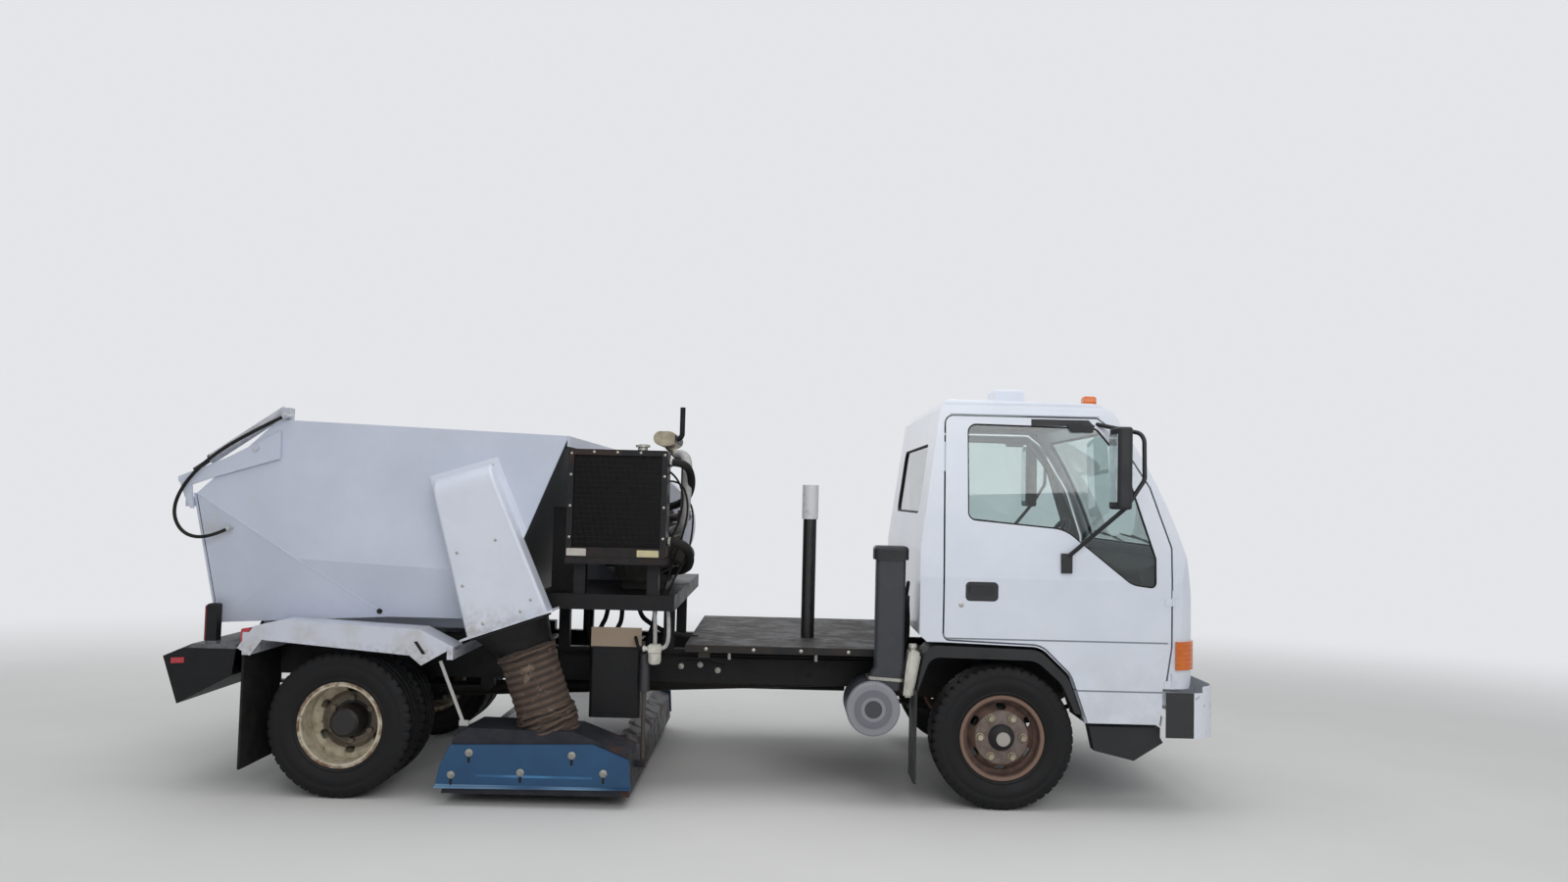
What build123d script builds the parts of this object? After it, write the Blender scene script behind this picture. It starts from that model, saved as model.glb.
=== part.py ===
from build123d import *
from functools import cache
from math import radians, tan
import os

# Vacuum street sweeper on a low-cab-forward truck.
# Millimetres; +X forward, +Y to the truck's left, +Z up, origin on the ground at mid length.

# Driving dimensions of the truck
WHEELBASE = 3365.0
FRONT_OVERHANG = 1095.0
REAR_OVERHANG = 905.0
NOSE_X = (WHEELBASE + FRONT_OVERHANG + REAR_OVERHANG) / 2
TAIL_X = -NOSE_X
FRONT_AXLE_X = NOSE_X - FRONT_OVERHANG
REAR_AXLE_X = TAIL_X + REAR_OVERHANG
MOVING_GAP = 8.0
FIT_GAP = 0.3

# Wheels and tyres
TYRE_RADIUS = 364.0
TYRE_WIDTH = 208.0
RIM_RADIUS = 203.0
FLANGE_RADIUS = 218.0
RIM_WIDTH = 160.0
RIM_WALL = 9.0
DISC_WALL = 12.0
HUB_RADIUS = 82.0
WHEEL_OFFSET = 122.0
FRONT_WHEEL_Y = 830.0
DUAL_MID_Y = 792.0
LUG_CIRCLE_RADIUS = 111.0
LUG_RADIUS = 16.0
LUG_HEIGHT = 26.0

# Chassis frame
FRAME_HALF_WIDTH = 425.0
RAIL_HEIGHT = 184.0
RAIL_FLANGE = 64.0
RAIL_WALL = 7.0
FRAME_TOP = 715.0
FRAME_REAR_X = -2560.0
FRAME_FRONT_X = 2440.0
SUBFRAME_TOP = 790.0
SUBFRAME_TUBE = 70.0

BUMPER_FOOT_Z = 395.0
BUMPER_CORNER_Z = 623.0
BUMPER_TOP_Z = 655.0
BUMPER_REAR_X = 2409.0
BUMPER_CUT_X = 2600.0
BUMPER_HALF_WIDTH = 964.0
BUMPER_SWEEP = 150.0
BUMPER_WALL = 5.0

# Cab
CAB_HALF_WIDTH = 950.0
CAB_ROOF_HALF_WIDTH = 872.0
BELT_Z = 1180.0
CAB_ROOF_Z = 2105.0
ROOF_JOINT_Z = 2024.0
CAB_WALL = 40.0
DOOR_WALL = 34.0
DOOR_SKIN = 12.0
DOOR_GAP = 9.0
GLASS_WALL = 5.0
GLASS_INSET = 12.0
SILL_Z = 450.0
FLOOR_Z = 780.0
STEP_WELL_Y = 740.0
DOOR_HINGE_X = 2444.0
CAB_PIVOT_X = FRAME_FRONT_X + 45.0
CAB_PIVOT_Z = 650.0
CAB_EAR_RADIUS = 32.0
CAB_LUG_Y = 350.0
CAB_PIN_RADIUS = 15.0
HINGE_RADIUS = 6.0
DOOR_HINGE_Y = -CAB_HALF_WIDTH - 7
HINGE_HEIGHTS = (640.0, 1060.0)

# Hopper
SHEET = 6.0
HOPPER_HALF_WIDTH = 1000.0
HOPPER_FOOT_HALF_WIDTH = 900.0
DUMP_PIVOT_X = -2400.0
DUMP_PIVOT_Z = 818.0
DUMP_EAR_RADIUS = 30.0
GATE_PIVOT_X = -2247.0
GATE_PIVOT_Z = 1754.0
GATE_PIN_RADIUS = 14.0

# Pickup head and suction hose
HEAD_HALF_WIDTH = 1076.0
HOSE_RADIUS = 143.0
HOSE_Y = -928.0
HEAD_TRAVEL = 60.0
TURRET_INNER_Y = HOSE_Y + HOSE_RADIUS + 13
LIFT_ROD_RADIUS = 13.0


def outline(points):
    """A flat closed outline, drawn on the page."""
    return make_face(Polyline(*points, close=True))


def rounded(face, corners):
    """A flat outline with the corner nearest to each given point rounded to its radius."""
    for point, radius in corners:
        corner_point = face.vertices().sort_by_distance((point[0], point[1], 0))[0]
        face = fillet(corner_point, radius)
    return face


def mirrored(points):
    """Plan points of the right side carried round to the left, in order."""
    return [(x, -y) for x, y in reversed(points)]


def side_prism(sketch, y_from, y_to):
    """A side view (x, z) run across the truck between two values of Y."""
    return Pos(0, y_from, 0) * extrude(Plane.XZ * sketch, y_to - y_from, dir=(0, 1, 0))


def cross_prism(sketch, x_from, x_to):
    """A view from the front (y, z) run along the truck."""
    return Pos(x_from, 0, 0) * extrude(Plane.YZ * sketch, x_to - x_from, dir=(1, 0, 0))


def plan_prism(sketch, z_from, z_to):
    """A plan view (x, y) run upwards."""
    return Pos(0, 0, z_from) * extrude(sketch, z_to - z_from, dir=(0, 0, 1))


def block(x_range, y_range, z_range):
    """A plain box between three pairs of faces."""
    size = [high - low for low, high in (x_range, y_range, z_range)]
    middle = [(high + low) / 2 for low, high in (x_range, y_range, z_range)]
    return Pos(*middle) * Box(*size)


def bar(start, end, radius):
    """A round bar between two points."""
    axis = Vector(*end) - Vector(*start)
    base = Align.CENTER, Align.CENTER, Align.MIN
    return Plane(origin=start, z_dir=axis) * Cylinder(radius, axis.length, align=base)


def tube(start, end, radius, bore):
    """A round tube between two points."""
    return bar(start, end, radius) - bar(start, end, bore)


def bent_bar(points, radius, bend):
    """A round bar along straight runs with equal bends."""
    path = FilletPolyline(*points, radius=bend)
    section = Plane(origin=path @ 0, z_dir=path % 0) * Circle(radius)
    return sweep(section, path)


def both_sides(shape):
    """A piece and its mirror image across the truck."""
    return [shape, mirror(shape, Plane.XZ)]


def turned(profile, y):
    """A (radius, offset) profile turned about the wheel's own Y axis at a given Y."""
    face = Plane.XY * outline(profile)
    return Pos(0, y, 0) * revolve(face, Axis.Y)


# Wheels

def tyre():
    """One tyre round its own centre, with a flat tread, round shoulders and sloping walls."""
    half = TYRE_WIDTH / 2
    tread = half - 22
    flange_y = RIM_WIDTH / 2 - RIM_WALL
    profile = [
        (TYRE_RADIUS, -tread), (TYRE_RADIUS, tread), (TYRE_RADIUS - 18, half - 4),
        (TYRE_RADIUS - 72, half), (FLANGE_RADIUS + 34, half - 8), (FLANGE_RADIUS + 1, flange_y + RIM_WALL),
        (FLANGE_RADIUS, flange_y), (RIM_RADIUS, flange_y - 5), (RIM_RADIUS, 5 - flange_y),
        (FLANGE_RADIUS, -flange_y), (FLANGE_RADIUS + 1, -flange_y - RIM_WALL), (FLANGE_RADIUS + 34, 8 - half),
        (TYRE_RADIUS - 72, -half), (TYRE_RADIUS - 18, 4 - half),
    ]
    return turned(profile, 0)


def wheel(disc_y):
    """One steel wheel about its own centre; the disc stands at disc_y, outwards is -Y."""
    half = RIM_WIDTH / 2
    inner = RIM_RADIUS - RIM_WALL
    rim = turned([
        (FLANGE_RADIUS, -half), (FLANGE_RADIUS, RIM_WALL - half), (RIM_RADIUS, 14 - half),
        (RIM_RADIUS, half - 14), (FLANGE_RADIUS, half - RIM_WALL), (FLANGE_RADIUS, half),
        (inner, half - 2), (inner, 2 - half),
    ], 0)
    side = 1 if disc_y > 0 else -1
    rise = side * 38
    disc = turned([
        (HUB_RADIUS - 20, disc_y), (LUG_CIRCLE_RADIUS + 26, disc_y), (inner - 22, disc_y - rise),
        (inner, disc_y - rise), (inner, disc_y - rise - side * DISC_WALL),
        (inner - 28, disc_y - rise - side * DISC_WALL), (LUG_CIRCLE_RADIUS + 20, disc_y - side * DISC_WALL),
        (HUB_RADIUS - 20, disc_y - side * DISC_WALL),
    ], 0)
    vent = SlotOverall(52, 30)
    reach = LUG_CIRCLE_RADIUS + 44
    for turn in range(0, 360, 60):
        hole = Rot(0, turn, 0) * (Pos(0, disc_y - rise / 2, reach) * Rot(90, 0, 0) * extrude(vent, 60, both=True))
        disc -= hole
    return rim + disc


def lugs(face_y, outwards, count, turn_first):
    """The wheel nuts standing on a disc's face."""
    nuts = []
    for index in range(count):
        turn = turn_first + index * 360 / count
        nut = Pos(0, face_y + outwards * LUG_HEIGHT / 2, LUG_CIRCLE_RADIUS) * Rot(90, 0, 0) * extrude(
            RegularPolygon(LUG_RADIUS, 6), LUG_HEIGHT / 2, both=True)
        nuts.append(Rot(0, turn, 0) * nut)
    return nuts


def front_wheel():
    """The right front wheel: disc bulging outwards, hub cap and six nuts."""
    disc_y = -WHEEL_OFFSET + 62
    body = wheel(disc_y)
    hub = turned([(0, disc_y - 58), (34, disc_y - 58), (40, disc_y - 50), (HUB_RADIUS - 20, disc_y - 20),
                  (HUB_RADIUS - 14, disc_y + 26), (0, disc_y + 26)], 0)
    body = body + hub
    for nut in lugs(disc_y, -1, 6, 30):
        body += nut
    return Pos(FRONT_AXLE_X, -FRONT_WHEEL_Y, TYRE_RADIUS) * body


def rear_wheels():
    """The right rear pair, discs bolted face to face, with the axle's hub standing in the dish."""
    outer_y = -DUAL_MID_Y - WHEEL_OFFSET
    inner_y = -DUAL_MID_Y + WHEEL_OFFSET
    outer = Pos(0, outer_y, 0) * wheel(WHEEL_OFFSET)
    inner = Pos(0, inner_y, 0) * wheel(-WHEEL_OFFSET)
    hub = turned([(0, -150), (60, -150), (74, -138), (82, -20), (HUB_RADIUS - 14, 0),
                  (HUB_RADIUS - 14, 60), (0, 60)], -DUAL_MID_Y)
    body = outer + inner + hub
    for nut in lugs(-DUAL_MID_Y - DISC_WALL, -1, 6, 0):
        body += nut
    return Pos(REAR_AXLE_X, 0, TYRE_RADIUS) * body


def front_tyre():
    return Pos(FRONT_AXLE_X, -FRONT_WHEEL_Y, TYRE_RADIUS) * tyre()


def rear_tyres():
    """The right rear pair of tyres."""
    return [Pos(REAR_AXLE_X, -DUAL_MID_Y + step * WHEEL_OFFSET, TYRE_RADIUS) * tyre() for step in (-1, 1)]


# Axles and springs

KINGPIN_Y = 760.0
KNUCKLE_RADIUS = 24.0
BEAM_HALF_HEIGHT = 34.0
LEAF_PITCH = 14.0
REAR_SPRING_TOP = TYRE_RADIUS + 116
SHAFT_REAR_X = REAR_AXLE_X + 250
SHAFT_REAR_Z = TYRE_RADIUS + 30
SHAFT_FRONT_X = 1000.0
SHAFT_FRONT_Z = 520.0
SPINDLE_RADIUS = 30.0


def leaf_spring(axle_x, seat_z, half_length, under):
    """A pack of leaves on the right rail, its ends hung from the rail by shackle plates."""
    width = 60
    y_mid = -FRAME_HALF_WIDTH + RAIL_FLANGE / 2
    eye_z = FRAME_TOP - RAIL_HEIGHT - 40
    pieces = None
    for leaf in range(under):
        reach = half_length - leaf * 130
        drop = seat_z - leaf * LEAF_PITCH
        rise = (eye_z - seat_z) * (reach / half_length) ** 2
        arc = ThreePointArc((-reach, drop + rise), (0, drop), (reach, drop + rise))
        low = ThreePointArc((-reach, drop + rise - 12), (0, drop - 14), (reach, drop + rise - 12))
        ends = [Line(arc @ 0, low @ 0), Line(arc @ 1, low @ 1)]
        face = make_face([arc, low] + ends)
        strip = side_prism(Pos(axle_x, 0) * face, y_mid - width / 2, y_mid + width / 2)
        pieces = strip if pieces is None else pieces + strip
    for end in (-1, 1):
        x = axle_x + end * half_length
        pieces += bar((x, y_mid - width / 2, eye_z - 6), (x, y_mid + width / 2, eye_z - 6), 22)
        pieces += block((x - 34, x + 34), (y_mid - width / 2, y_mid + width / 2),
                        (eye_z - 6, FRAME_TOP - RAIL_HEIGHT))
    return pieces


def front_axle():
    """Dropped beam with kingpin eyes and its two springs."""
    eye_y = KINGPIN_Y
    low, top = TYRE_RADIUS - 90, TYRE_RADIUS - 30
    eye_low, eye_top = TYRE_RADIUS - BEAM_HALF_HEIGHT, TYRE_RADIUS + BEAM_HALF_HEIGHT
    beam_x = (FRONT_AXLE_X - 34, FRONT_AXLE_X + 34)
    beam = block(beam_x, (100 - eye_y, eye_y - 100), (low, top))
    for side in (-1, 1):
        beam += bar((FRONT_AXLE_X, side * eye_y, eye_low), (FRONT_AXLE_X, side * eye_y, eye_top), 38)
        beam += block(beam_x, sorted((side * (eye_y - 130), side * (eye_y - 76))), (low, eye_top))
        beam += block((FRONT_AXLE_X - 26, FRONT_AXLE_X + 26), sorted((side * (eye_y - 76), side * (eye_y - 20))),
                      (eye_low, eye_top))
        beam -= bar((FRONT_AXLE_X, side * eye_y, 0), (FRONT_AXLE_X, side * eye_y, 2 * TYRE_RADIUS),
                    KNUCKLE_RADIUS + FIT_GAP)
    return [beam] + both_sides(front_springs())


def front_springs():
    """Right front leaf pack with its seat on the axle beam."""
    seat_z = TYRE_RADIUS + 12
    spring = leaf_spring(FRONT_AXLE_X, seat_z, 560, 3)
    y_mid = -FRAME_HALF_WIDTH + RAIL_FLANGE / 2
    spring += block((FRONT_AXLE_X - 60, FRONT_AXLE_X + 60), (y_mid - 42, y_mid + 42), (TYRE_RADIUS - 30, seat_z - 28))
    return spring


def knuckle():
    """Right steering knuckle: fork over the beam's eye, kingpin, spindle and steering arm."""
    x = FRONT_AXLE_X
    fork_outer = BEAM_HALF_HEIGHT + 34
    gap = BEAM_HALF_HEIGHT + FIT_GAP
    pin = bar((x, -KINGPIN_Y, TYRE_RADIUS - fork_outer), (x, -KINGPIN_Y, TYRE_RADIUS + fork_outer), KNUCKLE_RADIUS)
    cheeks = bar((x, -KINGPIN_Y, TYRE_RADIUS + gap), (x, -KINGPIN_Y, TYRE_RADIUS + fork_outer), 40)
    cheeks += bar((x, -KINGPIN_Y, TYRE_RADIUS - fork_outer), (x, -KINGPIN_Y, TYRE_RADIUS - gap), 40)
    plate_y = -KINGPIN_Y - 48
    web = block((x - 36, x + 36), (plate_y - 18, plate_y), (TYRE_RADIUS - fork_outer, TYRE_RADIUS + fork_outer))
    for z_low, z_high in ((gap, fork_outer), (-fork_outer, -gap)):
        web += block((x - 36, x + 36), (plate_y, -KINGPIN_Y), (TYRE_RADIUS + z_low, TYRE_RADIUS + z_high))
    spindle_end = -FRONT_WHEEL_Y - WHEEL_OFFSET + 62 + 26 + FIT_GAP
    spindle = bar((x, plate_y, TYRE_RADIUS), (x, spindle_end, TYRE_RADIUS), SPINDLE_RADIUS)
    drum = bar((x, plate_y - 18, TYRE_RADIUS), (x, plate_y - 30, TYRE_RADIUS), 150)
    arm = block((x - 150, x - 30), (-KINGPIN_Y - 20, -KINGPIN_Y + 12), (TYRE_RADIUS - fork_outer, TYRE_RADIUS - gap - 8))
    return pin + cheeks + web + spindle + drum + arm


def rear_axle():
    """Axle tube with its differential case and spring packs' seats."""
    tube_end = DUAL_MID_Y - 60 - FIT_GAP
    axle = bar((REAR_AXLE_X, -tube_end, TYRE_RADIUS), (REAR_AXLE_X, tube_end, TYRE_RADIUS), 55)
    case = turned([(0, -150), (70, -150), (150, -60), (165, 0), (150, 60), (70, 150), (0, 150)], 0)
    axle += Pos(REAR_AXLE_X, 0, TYRE_RADIUS) * case
    pinion = bar((REAR_AXLE_X, 0, TYRE_RADIUS), (SHAFT_REAR_X + 40, 0, SHAFT_REAR_Z), 60)
    axle += pinion & block((REAR_AXLE_X, SHAFT_REAR_X), (-100, 100), (200, 600))
    y_mid = FRAME_HALF_WIDTH - RAIL_FLANGE / 2
    for side in (-1, 1):
        low, high = sorted((side * (y_mid - 42), side * (y_mid + 42)))
        axle += block((REAR_AXLE_X - 60, REAR_AXLE_X + 60), (low, high),
                      (TYRE_RADIUS - 20, REAR_SPRING_TOP - LEAF_PITCH * 4))
    return [axle] + both_sides(rear_springs())


def rear_springs():
    return leaf_spring(REAR_AXLE_X, REAR_SPRING_TOP, 600, 4)


# Chassis

def rail():
    """Right frame rail, a channel open to the inside, with the corners of its flanges square."""
    z_low = FRAME_TOP - RAIL_HEIGHT
    web = block((FRAME_REAR_X, FRAME_FRONT_X), (-FRAME_HALF_WIDTH, -FRAME_HALF_WIDTH + RAIL_WALL), (z_low, FRAME_TOP))
    flange_y = (-FRAME_HALF_WIDTH, -FRAME_HALF_WIDTH + RAIL_FLANGE)
    web += block((FRAME_REAR_X, FRAME_FRONT_X), flange_y, (FRAME_TOP - RAIL_WALL, FRAME_TOP))
    web += block((FRAME_REAR_X, FRAME_FRONT_X), flange_y, (z_low, z_low + RAIL_WALL))
    return web


TIE_EYE_RADIUS = 17.5
TIE_EYE_THICKNESS = 20.0
TIE_EYE_X = FRAME_FRONT_X - 115
TIE_EYE_REACH = 40.0
TIE_EYE_EDGE = 38.0
CROSS_MEMBERS = [FRAME_REAR_X + 40, -930.0, -420.0, 620.0, 2360.0]


def frame():
    """Two rails joined by channel cross-members."""
    right = rail()
    body = right + mirror(right, Plane.XZ)
    reach = FRAME_HALF_WIDTH - RAIL_WALL
    for x in CROSS_MEMBERS:
        body += block((x - 40, x - 34), (-reach, reach), (FRAME_TOP - RAIL_HEIGHT + 20, FRAME_TOP - 20))
        for z in (FRAME_TOP - RAIL_HEIGHT + 20, FRAME_TOP - 26):
            body += block((x - 40, x + 30), (-reach, reach), (z, z + 6))
    for side in (-1, 1):
        low, high = sorted((side * (CAB_LUG_Y + 20), side * FRAME_HALF_WIDTH))
        ear = block((FRAME_FRONT_X - 40, CAB_PIVOT_X), (low, high),
                    (CAB_PIVOT_Z - CAB_EAR_RADIUS, CAB_PIVOT_Z + CAB_EAR_RADIUS))
        ear += bar((CAB_PIVOT_X, low, CAB_PIVOT_Z), (CAB_PIVOT_X, high, CAB_PIVOT_Z), CAB_EAR_RADIUS)
        body += ear - bar((CAB_PIVOT_X, -500, CAB_PIVOT_Z), (CAB_PIVOT_X, 500, CAB_PIVOT_Z), CAB_PIN_RADIUS + FIT_GAP)
        body += tie_eye(side)
    return body


def tie_eye(side):
    """A lashing eye: a flat plate welded to a rail's foot, with an upright hole."""
    low_z = FRAME_TOP - RAIL_HEIGHT
    top_z = low_z + TIE_EYE_THICKNESS
    hole_y = side * (FRAME_HALF_WIDTH + TIE_EYE_REACH)
    plate = block((TIE_EYE_X - TIE_EYE_EDGE, TIE_EYE_X + TIE_EYE_EDGE),
                  sorted((side * FRAME_HALF_WIDTH, hole_y)), (low_z, top_z))
    plate += bar((TIE_EYE_X, hole_y, low_z), (TIE_EYE_X, hole_y, top_z), TIE_EYE_EDGE)
    return plate - bar((TIE_EYE_X, hole_y, low_z - 1), (TIE_EYE_X, hole_y, top_z + 1), TIE_EYE_RADIUS)


DRIVE_ENGINE_X = (1500.0, 2150.0)


def drivetrain():
    """Engine and gearbox under the cab, one plain stepped block, with the driveshaft to the rear axle."""
    engine = block(DRIVE_ENGINE_X, (-240, 240), (470, 735))
    engine += block((SHAFT_FRONT_X, DRIVE_ENGINE_X[0]), (-150, 150), (440, 700))
    shaft = bar((SHAFT_FRONT_X + 60, 0, SHAFT_FRONT_Z), (SHAFT_REAR_X - 60, 0, SHAFT_REAR_Z), 42)
    return [engine, shaft & block((SHAFT_REAR_X, SHAFT_FRONT_X), (-100, 100), (200, 700))]


def deck():
    """Flat deck behind the cab with a folded edge, on two bearers across the rails."""
    plate = block((-60, 1090), (-770, 770), (776, 782))
    for side in (-1, 1):
        low, high = sorted((side * 764, side * 770))
        plate += block((-60, 1090), (low, high), (744, 776))
    for x in (40, 990):
        plate += block((x - 30, x + 30), (-764, 764), (FRAME_TOP, 776))
    return plate


def subframe():
    """Hopper bearers on top of the rails, with the dump pivot's ears at the rear."""
    body = None
    y_mid = FRAME_HALF_WIDTH - SUBFRAME_TUBE / 2
    for side in (-1, 1):
        low, high = sorted((side * (y_mid - SUBFRAME_TUBE / 2), side * (y_mid + SUBFRAME_TUBE / 2)))
        beam = block((FRAME_REAR_X + 80, -960), (low, high), (FRAME_TOP, SUBFRAME_TOP - 20))
        body = beam if body is None else body + beam
        ear_low, ear_high = sorted((side * (FRAME_HALF_WIDTH + 6), side * (FRAME_HALF_WIDTH + 30)))
        ear = side_prism(outline([
            (DUMP_PIVOT_X - 70, FRAME_TOP + 10), (DUMP_PIVOT_X - DUMP_EAR_RADIUS, DUMP_PIVOT_Z),
            (DUMP_PIVOT_X + DUMP_EAR_RADIUS, DUMP_PIVOT_Z), (DUMP_PIVOT_X + 70, FRAME_TOP + 10)]), ear_low, ear_high)
        ear += bar((DUMP_PIVOT_X, ear_low, DUMP_PIVOT_Z), (DUMP_PIVOT_X, ear_high, DUMP_PIVOT_Z), DUMP_EAR_RADIUS)
        ear += block((DUMP_PIVOT_X - 70, DUMP_PIVOT_X + 70), sorted((side * FRAME_HALF_WIDTH, side * (FRAME_HALF_WIDTH + 30))),
                     (FRAME_TOP + 10, FRAME_TOP + 40))
        ear -= bar((DUMP_PIVOT_X, low - 60, DUMP_PIVOT_Z), (DUMP_PIVOT_X, high + 60, DUMP_PIVOT_Z), 16 + FIT_GAP)
        body += ear
    for x in (-2300, -1230):
        body += block((x - 20, x + 20), (-y_mid, y_mid), (FRAME_TOP, FRAME_TOP + 40))
    return [body, engine_frame()]


def fuel_tank():
    """Left-side fuel tank with rounded edges, strapped to the rail."""
    tank = block((150, 850), (FRAME_HALF_WIDTH + 20, 850), (360, 690))
    tank = fillet(tank.edges().filter_by(Axis.X), 40)
    for x in (300, 700):
        tank += block((x - 25, x + 25), (FRAME_HALF_WIDTH, FRAME_HALF_WIDTH + 20), (FRAME_TOP - RAIL_HEIGHT, 680))
    return tank


def hydraulic_tank():
    """Tank below the engine frame on the kerb side, with an upright guard plate along its top."""
    x_range = (-560, -292)
    tank = block(x_range, (TURRET_INNER_Y + 12, -FRAME_HALF_WIDTH), (391, 752))
    tank = fillet(tank.edges().filter_by(Axis.Z), 18)
    guard = block((x_range[0] + 3, x_range[1]), (TURRET_INNER_Y + 18, TURRET_INNER_Y + 24), (752, 862))
    cap = bar((-340, TURRET_INNER_Y + 90, 752), (-340, TURRET_INNER_Y + 90, 790), 34)
    return tank + guard + cap


def tanks():
    return [fuel_tank(), hydraulic_tank()]


def front_bumper():
    """Formed bumper: face with swept ends, open at the back, on two brackets from the rails."""
    plan = outline([(BUMPER_REAR_X, -BUMPER_HALF_WIDTH), (NOSE_X, -BUMPER_HALF_WIDTH),
                    (NOSE_X, BUMPER_HALF_WIDTH), (BUMPER_REAR_X, BUMPER_HALF_WIDTH)])
    plan = rounded(plan, [((NOSE_X, side * BUMPER_HALF_WIDTH), BUMPER_SWEEP) for side in (-1, 1)])
    shell = plan_prism(plan, BUMPER_FOOT_Z, BUMPER_TOP_Z)
    hollow = plan_prism(offset(plan, amount=-BUMPER_WALL), BUMPER_FOOT_Z, BUMPER_TOP_Z)
    shell -= hollow + Pos(-2 * BUMPER_WALL, 0, 0) * hollow
    foot_z = FRAME_TOP - RAIL_HEIGHT
    for side in (-1, 1):
        corner_y = sorted((side * (BUMPER_HALF_WIDTH - 84), side * (BUMPER_HALF_WIDTH + 36)))
        shell -= block((BUMPER_REAR_X - 9, BUMPER_CUT_X), corner_y, (BUMPER_CORNER_Z, BUMPER_TOP_Z + 1))
        bracket_y = sorted((side * (FRAME_HALF_WIDTH - 85), side * FRAME_HALF_WIDTH))
        shell += block((FRAME_FRONT_X - 80, NOSE_X - BUMPER_WALL), bracket_y, (foot_z - 60, foot_z))
    return shell


# side views of the arch: its outer edge, and the inner edge of the band that shows round the tyre
ARCH_EDGE = [(1136, 560), (1188, 832), (1768, 820), (1915, 680), (1992, 470)]
ARCH_BAND_EDGE = [(1148, 600), (1210, 772), (1750, 766), (1882, 652), (1968, 466)]
ARCH_BENDS = [((1188, 832), 70), ((1768, 820), 120), ((1915, 680), 120)]
ARCH_BAND_BENDS = [((1210, 772), 70), ((1750, 766), 120), ((1882, 652), 120)]
ARCH_WALL = 8.0
VALANCE_SIDE = [(2034, 434), (2400, 434), (2400, 386), (2415, 358), (2266, 263), (2063, 309)]
VALANCE_BRACKET_X = (2210.0, 2270.0)
ARCH_BAND_Y = (-CAB_HALF_WIDTH + 2, -CAB_HALF_WIDTH + 50)
ARCH_LINER_Y = (ARCH_BAND_Y[1], ARCH_BAND_Y[1] + 200)
VALANCE_Y = (ARCH_BAND_Y[1], ARCH_BAND_Y[1] + 80)


def valance():
    """Dark lower trim below the cab's sill, one each side, carried from the rail."""
    right = side_prism(outline(VALANCE_SIDE), *VALANCE_Y)
    right += block(VALANCE_BRACKET_X, (VALANCE_Y[1], -FRAME_HALF_WIDTH), (380, 420))
    right += block(VALANCE_BRACKET_X, (-FRAME_HALF_WIDTH - 20, -FRAME_HALF_WIDTH), (420, 640))
    return right


def front_arch():
    """Black arch over the right front wheel: liner, band round the opening, and the flap behind the tyre."""
    edge = rounded(outline(ARCH_EDGE), ARCH_BENDS)
    inside = offset(edge, amount=-ARCH_WALL, kind=Kind.INTERSECTION)
    below = outline([(1144, 400), (1144, 600), (1980, 500), (1984, 400)])
    right = side_prism(edge - inside - below, *ARCH_LINER_Y)
    right += side_prism(edge - rounded(outline(ARCH_BAND_EDGE), ARCH_BAND_BENDS) - below, *ARCH_BAND_Y)
    right += block((1132, 1144), (-CAB_HALF_WIDTH - 5, ARCH_LINER_Y[1]), (130, 600))
    right += block((1500, 1560), (ARCH_LINER_Y[1] - 60, -FRAME_HALF_WIDTH), (798, 820))
    right += block((1500, 1560), (-FRAME_HALF_WIDTH - 12, -FRAME_HALF_WIDTH), (600, 820))
    return both_sides(right) + both_sides(valance())


def air_filter():
    """Canister lying across the truck with a tall snorkel, flared at its foot and capped."""
    centre_x, centre_z = 922, 500
    body = bar((centre_x, -950, centre_z), (centre_x, -620, centre_z), 138)
    body = fillet(body.edges().filter_by(GeomType.CIRCLE), 14)
    body += bar((centre_x, -955, centre_z), (centre_x, -950, centre_z), 96)
    body += block((860, 984), (-620, -FRAME_HALF_WIDTH), (560, 600))
    shaft = block((929, 1081), (-900, -790), (700, 1260))
    shaft = fillet(shaft.edges().filter_by(Axis.Z), 22)
    foot = Plane.XY.offset(700) * Pos(1005, -845) * RectangleRounded(152, 110, 22)
    mouth = Plane.XY.offset(590) * Pos(960, -845) * RectangleRounded(200, 110, 22)
    cap = fillet(block((915, 1095), (-915, -775), (1260, 1330)).edges().filter_by(Axis.Z), 30)
    cap = fillet(cap.edges().group_by(Axis.Z)[-1], 20)
    return body + shaft + loft([mouth, foot]) + cap


def water_bottle():
    """Flat bottle standing beside the deck on a bracket."""
    body = fillet(block((1092, 1132), (-870, -760), (541, 747)).edges(), 12)
    return body + block((1098, 1120), (-762, -FRAME_HALF_WIDTH), (600, 640))


def tool_post():
    """Tool holder: a post on the deck with a pale sleeve, open at the top."""
    post = tube((592, -300, 782), (592, -300, 1450), 38, 30)
    return post + tube((592, -300, 1450), (592, -300, 1643), 46, 34)


# side views of the rear fender: its folded top, and the opening in its skirt; then the stays' X and top Z
FENDER_TOP = [(-2274, 752), (-2193, 862), (-2056, 895), (-1365, 865), (-1191, 780)]
FENDER_CUT = [(-1351, 686), (-1411, 734), (-2152, 794), (-2209, 714)]
FENDER_STAYS = [((-2250, -2210), 830), ((-1225, -1195), 786)]
FENDER_Y = -1080.0
FENDER_SHEET = 4.0


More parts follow.
